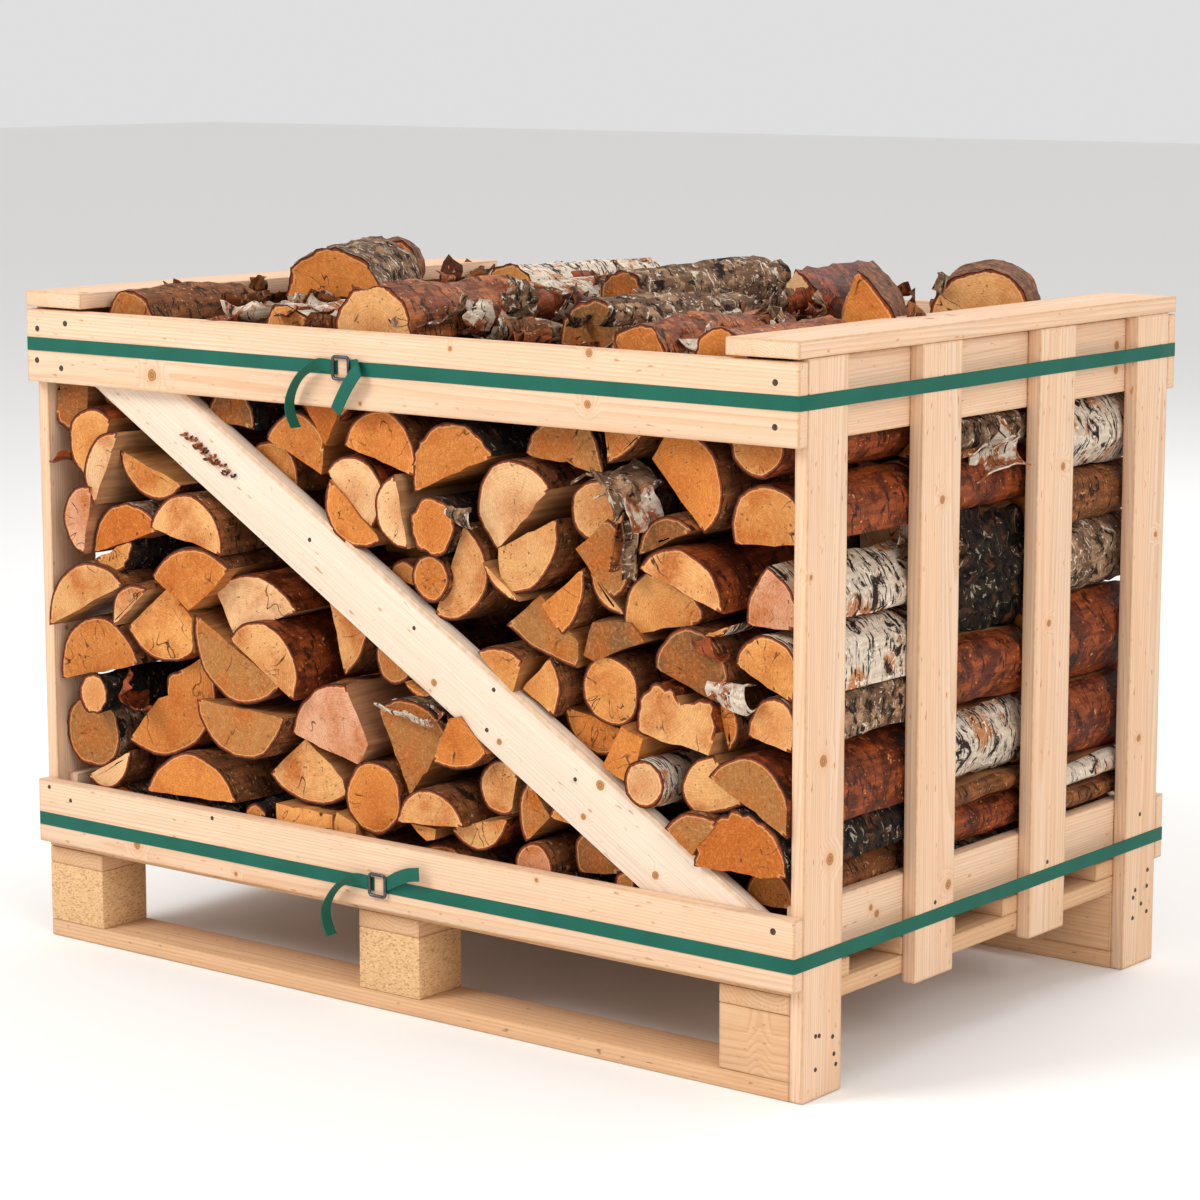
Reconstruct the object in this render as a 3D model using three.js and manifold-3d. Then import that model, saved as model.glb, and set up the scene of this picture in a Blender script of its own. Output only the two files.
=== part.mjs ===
// Firewood crate: a slatted spruce crate on a two-skid pallet, filled with split birch logs
// and bound by two webbing straps. Millimetres, +Z up, origin on the ground under the middle.
import * as THREE from 'three';
import * as BufferGeometryUtils from 'three/addons/utils/BufferGeometryUtils.js';
import Module from 'manifold-3d';

// ---- driving dimensions ----
const crateLength = 1218;
const crateDepth = 836;
const boardThick = 18;
const gap = 0.3;

const palletLength = crateLength - boardThick;
const palletDepth = crateDepth - 2 * boardThick;
const skidThick = 22;
const blockHigh = 78;
const blockLong = 98;
const blockDeep = 80;
const stringerThick = 22;
const deckThick = 22;
const deckBoardWide = 120;
const deckBoardCount = 4;

const slatTop = 841;
const postWide = 78;
const middleSlatWide = 84;
const middleSlatOffset = 129;
const rightSlatFoot = 90;

const sideBoardTop = 838;
const topBoardHigh = 94;
const bottomBoardFoot = 132;
const bottomBoardHigh = 84;

const endBoardTop = 838;
const topEndBoardHigh = 92;
const bottomEndBoardFoot = 147;
const bottomEndBoardHigh = 74;

const capWide = 100;
const capThick = 20;

const braceWide = 84.5;
const braceMiddle = { x: 17, z: 480 };
const braceDrop = 0.5956;
const braceTop = 822;
const braceFoot = 147;

const strapWide = 17;
const strapThick = 1.2;
const strapHeights = { upper: 793.5, lower: 163.5 };

const rowDeep = 249;
const rowPitch = 254;
const rowTop = 822;

// ---- levels worked out from them ----
const right = crateLength / 2;
const front = -crateDepth / 2;
const palletLeft = -right;
const palletRight = palletLeft + palletLength;
const palletMiddle = (palletLeft + palletRight) / 2;
const palletFront = -palletDepth / 2;
const blockFoot = skidThick + gap;
const blockTop = skidThick + blockHigh;
const stringerTop = blockTop + stringerThick;
const deckTop = stringerTop + deckThick;
const endInner = right - boardThick;
const endBoardInner = endInner - boardThick;
const braceInner = palletDepth / 2 - boardThick;
const capFoot = slatTop + gap;

// ---- materials ----
function wood(name, colour, roughness = 0.8) {
  return new THREE.MeshStandardMaterial({ name, color: colour, roughness, metalness: 0 });
}
const spruce = () => wood('spruce_board', '#e6c39b');
const paleSpruce = () => wood('spruce_board', '#f3e2c8');
const palletWood = () => wood('pallet_wood', '#d3a273');
const chipboard = () => wood('pressed_block', '#d2a67c', 0.9);
const birch = () => wood('birch_log', '#c98a55');
const webbing = () => new THREE.MeshStandardMaterial({ name: 'webbing', color: '#1f6f5c', roughness: 0.6 });
const steel = () => new THREE.MeshStandardMaterial({ name: 'wire_steel', color: '#5b5a57', roughness: 0.35, metalness: 1 });

const crate = new THREE.Group();

function addMesh(name, geometry, material, parent = crate) {
  const mesh = new THREE.Mesh(geometry, material);
  mesh.name = name;
  parent.add(mesh);
  return mesh;
}

// A board that fills a box given by its lowest and highest corners.
function addBoard(name, low, high, material) {
  const size = high.map((value, axis) => value - low[axis]);
  const mesh = addMesh(name, new THREE.BoxGeometry(...size), material);
  mesh.position.set(...low.map((value, axis) => value + size[axis] / 2));
  return mesh;
}

// An outline in X and Z, extruded along +Y from y0 to y1.
function extrudeAcross(shape, y0, y1) {
  const geometry = new THREE.ExtrudeGeometry(shape, { depth: y1 - y0, bevelEnabled: false });
  geometry.rotateX(Math.PI / 2);
  geometry.translate(0, y1, 0);
  return geometry;
}

function outline(points) {
  return new THREE.Shape(points.map(([x, z]) => new THREE.Vector2(x, z)));
}

// ---- pallet ----
function buildPallet() {
  const stations = {
    left: palletLeft,
    middle: palletMiddle - blockLong / 2,
    right: palletRight - blockLong,
  };
  for (const [side, turn] of [['front', 1], ['rear', -1]]) {
    const outer = turn * palletFront;
    const inner = outer + turn * blockDeep;
    const [y0, y1] = [Math.min(outer, inner), Math.max(outer, inner)];
    addBoard(`pallet_skid_${side}`, [palletLeft, y0, 0], [palletRight, y1, skidThick], palletWood());
    for (const [place, x] of Object.entries(stations)) {
      const material = place === 'right' ? palletWood() : chipboard();
      addBoard(`pallet_block_${side}_${place}`, [x, y0, blockFoot], [x + blockLong, y1, blockTop - gap], material);
    }
  }
  for (const [place, x] of Object.entries(stations)) {
    addBoard(`pallet_stringer_${place}`, [x, palletFront, blockTop], [x + blockLong, -palletFront, stringerTop],
      palletWood());
  }
  const pitch = (palletDepth - deckBoardWide) / (deckBoardCount - 1);
  for (let i = 0; i < deckBoardCount; i += 1) {
    const y = palletFront + i * pitch;
    addBoard(`pallet_deck_board_${i + 1}`, [palletLeft, y, stringerTop + gap],
      [palletRight, y + deckBoardWide, deckTop], palletWood());
  }
}

// ---- crate ends: two posts and two slats each, an inner board at top and foot, a cap rail ----
function buildEnds() {
  const rows = [
    ['post', 'front', palletFront, postWide],
    ['slat', 'front', -middleSlatOffset - middleSlatWide / 2, middleSlatWide],
    ['slat', 'rear', middleSlatOffset - middleSlatWide / 2, middleSlatWide],
    ['post', 'rear', -palletFront - postWide, postWide],
  ];
  for (const [side, turn] of [['left', -1], ['right', 1]]) {
    const xInner = turn * (endInner + (side === 'right' ? gap : 0));
    const xOuter = turn * right;
    const [x0, x1] = [Math.min(xInner, xOuter), Math.max(xInner, xOuter)];
    for (const [kind, place, y, wide] of rows) {
      const foot = { left: deckTop + gap, right: kind === 'post' ? 0 : rightSlatFoot }[side];
      addBoard(`${kind}_${side}_${place}`, [x0, y, foot], [x1, y + wide, slatTop], spruce());
    }
    const inside = [turn * endBoardInner, turn * (endInner - gap)].sort((a, b) => a - b);
    const reach = braceInner - gap;
    addBoard(`end_board_top_${side}`, [inside[0], -reach, endBoardTop - topEndBoardHigh],
      [inside[1], reach, endBoardTop], spruce());
    addBoard(`end_board_bottom_${side}`, [inside[0], -reach, bottomEndBoardFoot],
      [inside[1], reach, bottomEndBoardFoot + bottomEndBoardHigh], spruce());
    const cap = [turn * (right - capWide), turn * right].sort((a, b) => a - b);
    addBoard(`cap_rail_${side}`, [cap[0], front, capFoot], [cap[1], -front, capFoot + capThick], paleSpruce());
  }
}

// ---- long sides: a top and a bottom board outside the posts, a diagonal brace between them ----
function braceOutline() {
  const run = Math.hypot(1, braceDrop);
  const halfHeight = (braceWide / 2) * run;
  const edge = (x, sign) => braceMiddle.z - (x - braceMiddle.x) * braceDrop + sign * halfHeight;
  const edgeX = (z, sign) => braceMiddle.x - (z - braceMiddle.z - sign * halfHeight) / braceDrop;
  const end = endInner - gap * 2;
  return outline([
    [-end, edge(-end, -1)],
    [edgeX(braceFoot, -1), braceFoot],
    [end, braceFoot],
    [end, edge(end, 1)],
    [edgeX(braceTop, 1), braceTop],
    [-end, braceTop],
  ]);
}

function buildLongSides() {
  for (const [side, turn] of [['front', -1], ['rear', 1]]) {
    const [y0, y1] = [turn * (palletDepth / 2 + gap), turn * (crateDepth / 2)].sort((a, b) => a - b);
    addBoard(`side_board_top_${side}`, [-right, y0, sideBoardTop - topBoardHigh], [right, y1, sideBoardTop],
      spruce());
    addBoard(`side_board_bottom_${side}`, [-right, y0, bottomBoardFoot],
      [right, y1, bottomBoardFoot + bottomBoardHigh], spruce());
    const brace = extrudeAcross(braceOutline(), braceInner, palletDepth / 2);
    if (side === 'front') {
      brace.translate(0, -(braceInner + palletDepth / 2), 0);
    }
    addMesh(`brace_${side}`, brace, paleSpruce());
  }
}

// ---- straps: a flat band round the crate with two free tails and a wire buckle in front ----
const wasm = await Module();
wasm.setup();

function toManifold(geometry) {
  const bare = geometry.clone();
  bare.deleteAttribute('normal');
  bare.deleteAttribute('uv');
  const merged = BufferGeometryUtils.mergeVertices(bare, 1e-4);
  return new wasm.Manifold(new wasm.Mesh({
    numProp: 3,
    vertProperties: merged.attributes.position.array,
    triVerts: new Uint32Array(merged.index.array),
  }));
}

function fromManifold(solid) {
  const mesh = solid.getMesh();
  const geometry = new THREE.BufferGeometry();
  geometry.setAttribute('position', new THREE.BufferAttribute(mesh.vertProperties, 3));
  geometry.setIndex(new THREE.BufferAttribute(mesh.triVerts, 1));
  geometry.computeVertexNormals();
  return geometry;
}

// Points on an arc, both ends included.
function arcPoints(x, y, radius, from, to, steps) {
  return Array.from({ length: steps + 1 }, (_, i) => {
    const angle = from + ((to - from) * i) / steps;
    return [x + radius * Math.cos(angle), y + radius * Math.sin(angle)];
  });
}

// A rectangle with rounded corners, as points.
function roundedLoop(halfX, halfY, radius) {
  const corners = [[1, 1], [-1, 1], [-1, -1], [1, -1]];
  return corners.flatMap(([sx, sy], i) => arcPoints(
    sx * (halfX - radius), sy * (halfY - radius), radius, (i * Math.PI) / 2, ((i + 1) * Math.PI) / 2, 3));
}

function strapBand(height) {
  const inside = gap;
  const outside = gap + strapThick;
  const band = outline(roundedLoop(right + outside, crateDepth / 2 + outside, 2.2));
  band.holes.push(outline(roundedLoop(right + inside, crateDepth / 2 + inside, 0.5)));
  const geometry = new THREE.ExtrudeGeometry(band, { depth: strapWide, bevelEnabled: false });
  geometry.translate(0, 0, height - strapWide / 2);
  return toManifold(geometry);
}

// A tail is a ribbon that follows a list of middle points in front of the band.
function strapTail(middle, height) {
  const lean = strapWide / 2;
  const upper = [];
  const lower = [];
  middle.forEach(([x, z], i) => {
    const [ax, az] = middle[Math.max(i - 1, 0)];
    const [bx, bz] = middle[Math.min(i + 1, middle.length - 1)];
    const length = Math.hypot(bx - ax, bz - az);
    const [nx, nz] = [-(bz - az) / length, (bx - ax) / length];
    upper.push([x + nx * lean, height + z + nz * lean]);
    lower.unshift([x - nx * lean, height + z - nz * lean]);
  });
  const bandFace = front - gap - strapThick;
  return toManifold(extrudeAcross(outline([...upper, ...lower].reverse()), bandFace - strapThick, bandFace + 0.4));
}

const tails = {
  upper: [
    [[-64, 6], [-86, 8], [-112, 3], [-134, -10], [-145, -31], [-142, -52], [-132, -68]],
    [[-50, 4], [-30, 7], [-27, -3], [-42, -21], [-62, -38]],
  ],
  lower: [
    [[-16, 6], [-42, 9], [-66, 1], [-82, -16], [-87, -38], [-81, -60], [-72, -74]],
    [[2, 6], [20, 12], [44, 22], [68, 28]],
  ],
};
const buckleMiddle = { upper: -57, lower: -7 };

// A bent-wire buckle: a rounded frame with a middle bar.
function buckleFrame(y0, y1) {
  let frame = toManifold(extrudeAcross(outline(roundedLoop(15, 14.5, 3.5)), y0, y1));
  for (const side of [-1, 1]) {
    const opening = new THREE.BoxGeometry(10.9, 20, 23.6);
    opening.translate(side * 6.85, (y0 + y1) / 2, 0);
    frame = frame.subtract(toManifold(opening));
  }
  return fromManifold(frame);
}

function buildStraps() {
  for (const [level, height] of Object.entries(strapHeights)) {
    const strap = tails[level].reduce((solid, middle) => solid.add(strapTail(middle, height)), strapBand(height));
    addMesh(`strap_${level}`, fromManifold(strap), webbing());
    const face = front - gap - 2 * strapThick - gap;
    const buckle = buckleFrame(face - 2.8, face);
    buckle.translate(buckleMiddle[level], 0, height);
    addMesh(`buckle_${level}`, buckle, steel());
  }
}

// ---- log stack: three rows deep, every log lying front to back ----
// One solid for each row reaches the outer tips of its logs.
const rowProfile = [
  [-540, -12], [-470, 4], [-400, -8], [-320, 2], [-240, -10], [-150, 4], [-60, -6],
  [40, 4], [130, -8], [220, 2], [300, -16], [390, -16], [470, 2], [540, -12],
];

function rowOutline() {
  const foot = deckTop + gap;
  const wide = endInner - 2 * gap;
  const narrow = endBoardInner - gap;
  const lowStep = bottomEndBoardFoot + bottomEndBoardHigh + 2;
  const highStep = endBoardTop - topEndBoardHigh - 2;
  const shoulder = rowTop - 26;
  const crest = rowProfile.map(([x, z]) => [x, rowTop + z]).reverse();
  return outline([
    [-narrow, foot], [narrow, foot], [narrow, lowStep], [wide, lowStep], [wide, highStep],
    [narrow, highStep], [narrow, shoulder], ...crest, [-narrow, shoulder], [-narrow, highStep],
    [-wide, highStep], [-wide, lowStep], [-narrow, lowStep],
  ]);
}

function buildRows() {
  for (const [name, turn] of [['front', -1], ['middle', 0], ['rear', 1]]) {
    const y = turn * rowPitch;
    addMesh(`log_row_${name}`, extrudeAcross(rowOutline(), y - rowDeep / 2, y + rowDeep / 2), birch());
  }
}

// ---- loose logs on top ----
// section, middle of the log in plan, height of its underside, radius, turn from +Y, length
const topLogs = [
  ['half', -333, -92, 866, 70, 30, 250],
  ['round', -426, 196, 842, 42, 4, 240],
  ['half', -43, -256, 838, 64, 0, 246],
  ['half', -196, -264, 829, 36, 6, 226],
  ['round', 258, -256, 831, 46, -3, 246],
  ['round', 150, 12, 831, 38, -4, 246],
  ['round', 366, -254, 814, 32, -3, 240],
  ['half', 458, -262, 828, 44, 2, 240],
  ['wedge', 436, -12, 842, 84, 8, 226],
  ['wedge', 268, 170, 832, 72, 8, 226],
  ['half', 400, 284, 850, 68, 12, 190],
  ['half', -60, 10, 832, 52, 5, 240],
  ['half', -210, 232, 832, 58, -6, 240],
  ['round', 10, 262, 831, 40, 3, 230],
  ['half', -452, -282, 828, 48, -3, 190],
];

const half = (radius) => arcPoints(0, 0, radius, 0, Math.PI, 12);
const round = (radius) => arcPoints(0, radius, radius, 0, 2 * Math.PI, 16).slice(1);
const wedge = (radius) => [
  [-radius * 0.62, 0], [radius * 0.62, 0], [radius * 0.56, radius * 0.3],
  [radius * 0.36, radius * 0.66], [-radius * 0.08, radius],
];
const sections = { half, round, wedge };

function buildTopLogs() {
  topLogs.forEach(([section, x, y, z, radius, turn, length], i) => {
    const geometry = extrudeAcross(outline(sections[section](radius)), -length / 2, length / 2);
    const mesh = addMesh(`top_log_${String(i + 1).padStart(2, '0')}`, geometry, birch());
    mesh.rotation.z = THREE.MathUtils.degToRad(turn);
    mesh.position.set(x, y, z);
  });
}

buildPallet();
buildEnds();
buildLongSides();
buildStraps();
buildRows();
buildTopLogs();

export default crate;
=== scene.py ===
import math
import random

import bmesh
import bpy
from mathutils import Euler, Matrix, Vector, noise


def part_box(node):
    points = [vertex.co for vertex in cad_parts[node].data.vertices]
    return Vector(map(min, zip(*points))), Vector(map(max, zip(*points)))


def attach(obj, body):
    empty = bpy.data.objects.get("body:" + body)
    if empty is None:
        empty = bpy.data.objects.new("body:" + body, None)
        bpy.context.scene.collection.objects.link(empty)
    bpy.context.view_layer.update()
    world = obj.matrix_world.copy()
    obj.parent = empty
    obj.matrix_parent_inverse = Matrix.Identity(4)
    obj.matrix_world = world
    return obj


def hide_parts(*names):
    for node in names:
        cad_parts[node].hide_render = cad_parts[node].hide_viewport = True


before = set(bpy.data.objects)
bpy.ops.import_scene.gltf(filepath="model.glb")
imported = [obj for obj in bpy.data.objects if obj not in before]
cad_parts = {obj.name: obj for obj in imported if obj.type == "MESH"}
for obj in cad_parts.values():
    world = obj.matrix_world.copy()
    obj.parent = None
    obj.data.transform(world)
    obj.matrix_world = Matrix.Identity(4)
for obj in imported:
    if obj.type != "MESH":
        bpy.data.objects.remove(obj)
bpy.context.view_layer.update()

mm = 0.001
# the noise module draws its offsets from the clock unless it is given a seed
noise.seed_set(11)


def linear(hexText):
    parts = [int(hexText[i:i + 2], 16) / 255 for i in (1, 3, 5)]
    return [p / 12.92 if p <= 0.04045 else ((p + 0.055) / 1.055) ** 2.4 for p in parts] + [1.0]


def addNode(tree, kind, values=None, links=None, stops=None, **settings):
    # adds one node; a link may name a socket, or a node for its first output in use
    node = tree.nodes.new("ShaderNode" + kind)
    for name, value in settings.items():
        setattr(node, name, value)
    for socket, value in (values or {}).items():
        node.inputs[socket].default_value = value
    for socket, source in (links or {}).items():
        if isinstance(source, bpy.types.Node):
            source = [output for output in source.outputs if output.enabled][0]
        tree.links.new(source, node.inputs[socket])
    for index, (position, colour) in enumerate(stops or []):
        elements = node.color_ramp.elements
        element = elements[index] if index < 2 else elements.new(position)
        element.position = position
        element.color = linear(colour) if isinstance(colour, str) else (colour, colour, colour, 1)
    return node


def newMaterial(name, roughness, gloss=0.5, metal=0.0):
    material = bpy.data.materials.new(name)
    material.use_nodes = True
    tree = material.node_tree
    tree.nodes.clear()
    shader = addNode(tree, "BsdfPrincipled",
                     {"Roughness": roughness, "Specular IOR Level": gloss, "Metallic": metal})
    addNode(tree, "OutputMaterial", links={"Surface": shader})
    return material, tree, shader


def finishPiece(bm, name, materials, nodes=(), sharpAngle=0.6):
    bmesh.ops.recalc_face_normals(bm, faces=bm.faces[:])
    for face in bm.faces:
        face.smooth = True
    for edge in bm.edges:
        faces = edge.link_faces
        if len(faces) == 2:
            edge.smooth = (faces[0].material_index == faces[1].material_index
                           and edge.calc_face_angle(0) < sharpAngle)
    mesh = bpy.data.meshes.new(name)
    bm.to_mesh(mesh)
    bm.free()
    for material in materials:
        mesh.materials.append(material)
    piece = bpy.data.objects.new(name, mesh)
    bpy.context.scene.collection.objects.link(piece)
    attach(piece, "root")
    if nodes:
        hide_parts(*nodes)
    return piece


# sawn boards

# Planed spruce shows pale early wood between thin darker late-wood lines, and brown knots
spruceLook = {"early": "#efd1b3", "late": "#d6a078", "tint": "#e6b68e", "knot": "#c18a58", "knotRim": "#96602f",
              "ringSpacing": 3.2, "fibre": 0.9, "roughness": 0.62, "edge": "#b98d5f", "speckle": "#b9783f"}
paleLook = dict(spruceLook, early="#efddca", late="#dfc0a2", tint="#e8cfb4")
# Rough-sawn pallet boards are darker and more orange, with fuzzy saw lines
palletLook = dict(spruceLook, early="#e2bb94", late="#c08c5e", tint="#d8a67a", roughness=0.78,
                  ringSpacing=5.0, speckle="#744622")


def sawnWood(name, look, centre, half, turn, knots, flat, seed):
    # the rings run round a pith line just outside the board, so faces show long arches and ends show curves
    rng = random.Random(seed)
    material, tree, shader = newMaterial(name, look["roughness"], 0.25)
    place = addNode(tree, "TexCoord").outputs["Object"]
    turned = Euler(turn).to_matrix()
    board = addNode(tree, "Mapping", {"Rotation": turn, "Location": -(turned @ centre)}, {"Vector": place})
    lean = (0, rng.uniform(-0.02, 0.02), rng.uniform(-0.03, 0.03))
    pith = Vector((0, rng.uniform(-0.05, 0.05), rng.choice((-1, 1)) * rng.uniform(0.03, 0.06)))
    leaned = addNode(tree, "Mapping", {"Rotation": lean, "Location": pith}, {"Vector": board})
    grain = addNode(tree, "VectorMath", {1: (0.05, 1, 1)}, {0: leaned}, operation="MULTIPLY")

    # nearest knot, measured in its own radius
    masked = addNode(tree, "VectorMath", {1: flat}, {0: place}, operation="MULTIPLY")
    ragged = addNode(tree, "TexNoise", {"Scale": 90, "Detail": 2}, {"Vector": place})
    nearest = addNode(tree, "Value")
    nearest.outputs[0].default_value = 9
    for x, y, z, radius in knots:
        spot = Vector((x * flat[0], y * flat[1], z * flat[2])) * mm
        distance = addNode(tree, "VectorMath", {1: spot}, {0: masked}, operation="DISTANCE").outputs["Value"]
        inRadius = addNode(tree, "Math", {1: radius * mm}, {0: distance}, operation="DIVIDE")
        nearest = addNode(tree, "Math", links={0: nearest, 1: inRadius}, operation="MINIMUM")
    wobble = addNode(tree, "MapRange", {"To Min": -0.22, "To Max": 0.22}, {"Value": ragged})
    knotField = addNode(tree, "Math", links={0: nearest, 1: wobble}, operation="ADD")
    # the grain bends round each knot
    bend = addNode(tree, "MapRange", {"From Min": 4.2, "From Max": 0.4, "To Min": 0, "To Max": 17},
                   {"Value": knotField}, interpolation_type="SMOOTHSTEP")
    rings = addNode(tree, "TexWave",
                    {"Scale": 0.314 / (look["ringSpacing"] * mm), "Distortion": 14, "Detail": 3,
                     "Detail Scale": 0.11, "Detail Roughness": 0.55},
                    {"Vector": grain, "Phase Offset": bend},
                    wave_type="RINGS", rings_direction="X", wave_profile="SAW")
    lateLines = addNode(tree, "ValToRGB", links={"Fac": rings}, stops=[(0.0, 0.12), (0.94, 0.62), (0.5, 0.2), (1.0, 0.25)])
    fibreScale = addNode(tree, "VectorMath", {1: (9, 420, 420)}, {0: board}, operation="MULTIPLY")
    fibres = addNode(tree, "TexNoise", {"Scale": look["fibre"], "Detail": 3, "Roughness": 0.6}, {"Vector": fibreScale})
    cloudScale = addNode(tree, "VectorMath", {1: (2.2, 16, 16)}, {0: board}, operation="MULTIPLY")
    clouds = addNode(tree, "TexNoise", {"Scale": 1.0, "Detail": 3}, {"Vector": cloudScale})

    base = addNode(tree, "Mix", {6: linear(look["early"]), 7: linear(look["late"])}, {0: lateLines}, data_type="RGBA")
    cloudMask = addNode(tree, "MapRange", {"From Min": 0.4, "From Max": 0.75, "To Max": 0.7}, {"Value": clouds})
    tinted = addNode(tree, "Mix", {7: linear(look["tint"])}, {0: cloudMask, 6: base}, data_type="RGBA")
    fibreTone = addNode(tree, "ValToRGB", links={"Fac": fibres}, stops=[(0.3, 0.80), (0.7, 1.0)])
    toned = addNode(tree, "Mix", {0: 0.85}, {6: tinted, 7: fibreTone}, data_type="RGBA", blend_type="MULTIPLY")
    # small brown resin flecks and short dark pores
    fleckScale = addNode(tree, "VectorMath", {1: (60, 190, 190)}, {0: board}, operation="MULTIPLY")
    flecks = addNode(tree, "TexNoise", {"Scale": 1.0, "Detail": 1}, {"Vector": fleckScale})
    fleckMask = addNode(tree, "MapRange", {"From Min": 0.70, "From Max": 0.80, "To Max": 0.75}, {"Value": flecks})
    flecked = addNode(tree, "Mix", {7: linear(look["speckle"])}, {0: fleckMask, 6: toned}, data_type="RGBA")
    knotColour = addNode(tree, "ValToRGB", links={"Fac": knotField},
                         stops=[(0.0, look["knot"]), (1.0, look["knotRim"]), (0.45, look["knotRim"]),
                                (0.6, look["knot"])])
    knotMask = addNode(tree, "MapRange", {"From Min": 1.12, "From Max": 0.86}, {"Value": knotField},
                       interpolation_type="SMOOTHSTEP")
    halo = addNode(tree, "MapRange", {"From Min": 2.6, "From Max": 1.0, "To Max": 0.45}, {"Value": knotField})
    haloed = addNode(tree, "Mix", {7: linear(look["late"])}, {0: halo, 6: flecked}, data_type="RGBA")
    knotted = addNode(tree, "Mix", links={0: knotMask, 6: haloed, 7: knotColour}, data_type="RGBA")
    # rubbed, slightly dirty edges within 3 mm of two faces
    size = addNode(tree, "VectorMath", {}, {0: board}, operation="ABSOLUTE")
    inside = addNode(tree, "VectorMath", {0: half}, {1: size}, operation="SUBTRACT")
    axes = addNode(tree, "SeparateXYZ", links={0: inside})
    edges = [addNode(tree, "MapRange", {"From Min": 3.4 * mm, "From Max": 0.6 * mm}, {"Value": axes.outputs[i]})
             for i in range(3)]
    pair = addNode(tree, "Math", links={0: edges[0], 1: edges[1]}, operation="ADD")
    three = addNode(tree, "Math", links={0: pair, 1: edges[2]}, operation="ADD")
    wear = addNode(tree, "Math", {1: 1.0}, {0: three}, operation="SUBTRACT", use_clamp=True)
    wearPart = addNode(tree, "Math", links={0: wear, 1: ragged}, operation="MULTIPLY")
    worn = addNode(tree, "Mix", {7: linear(look["edge"])}, {0: wearPart, 6: knotted}, data_type="RGBA")
    tree.links.new(worn.outputs[2], shader.inputs["Base Color"])
    roughness = addNode(tree, "MapRange", {"To Min": look["roughness"] - 0.08, "To Max": look["roughness"] + 0.14},
                        {"Value": fibres})
    tree.links.new(roughness.outputs[0], shader.inputs["Roughness"])
    relief = addNode(tree, "Math", links={0: fibres, 1: lateLines}, operation="ADD")
    bump = addNode(tree, "Bump", {"Strength": 0.35, "Distance": 0.5 * mm}, {"Height": relief})
    tree.links.new(bump.outputs[0], shader.inputs["Normal"])
    return material


# Pressed block: wood chips glued under heat, so short chips lie every way in a pale brown ground
pressedLook = {"ground": "#c99c6b", "pale": "#e4bf90", "dark": "#84592f", "chip": 3.2}


def pressedWood(name, look):
    material, tree, shader = newMaterial(name, 0.8, 0.25)
    place = addNode(tree, "TexCoord").outputs["Object"]
    stretched = addNode(tree, "VectorMath", {1: (1, 1, 2.2)}, {0: place}, operation="MULTIPLY")
    chips = addNode(tree, "TexVoronoi", {"Scale": 1 / (look["chip"] * mm), "Randomness": 1.0}, {"Vector": stretched})
    chipTone = addNode(tree, "ValToRGB", links={"Fac": chips.outputs["Color"]},
                       stops=[(0.12, look["dark"]), (0.8, look["pale"]), (0.32, look["ground"])])
    mottle = addNode(tree, "TexNoise", {"Scale": 45, "Detail": 4, "Roughness": 0.7}, {"Vector": place})
    ground = addNode(tree, "Mix", {6: linear(look["ground"]), 7: linear(look["pale"])}, {0: mottle}, data_type="RGBA")
    mixed = addNode(tree, "Mix", {0: 0.55}, {6: ground, 7: chipTone}, data_type="RGBA")
    tree.links.new(mixed.outputs[2], shader.inputs["Base Color"])
    bump = addNode(tree, "Bump", {"Strength": 0.5, "Distance": 0.6 * mm}, {"Height": chips.outputs["Distance"]})
    tree.links.new(bump.outputs[0], shader.inputs["Normal"])
    return material


chipBlock = pressedWood("chipBlockPressed", pressedLook)

# what differs from board to board: knots as x, y, z and radius in mm
boardKnots = {
    "side_board_top_front": [(-381, -409, 765, 7.5), (317, -409, 774, 5), (319, -409, 833, 5), (-30, -409, 752, 2.5),
                             (112, -409, 826, 3)],
    "side_board_bottom_front": [(-426, -409, 152, 6), (240, -409, 207, 3), (-250, -409, 140, 3)],
    "brace_front": [(68, -391, 421, 4.5), (321, -391, 329, 6), (296, -391, 288, 4), (402, -391, 234, 5),
                    (169, -391, 361, 4)],
    "post_right_front": [(600, -349, 274, 7), (600, -364, 389, 7), (600, -392, 600, 3)],
    "slat_right_front": [(600, -126, 658, 5), (600, -100, 196, 6)],
    "slat_right_rear": [(600, 146, 670, 5), (600, 120, 480, 4.5)],
    "post_right_rear": [(600, 380, 560, 4), (600, 350, 300, 5)],
}
boardShape = {"edgeRound": 1.3, "waver": 0.5, "station": 60, "freeKnots": 2}


def isBoard(node):
    return not node.startswith(("log_", "top_log", "strap", "buckle"))


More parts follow.
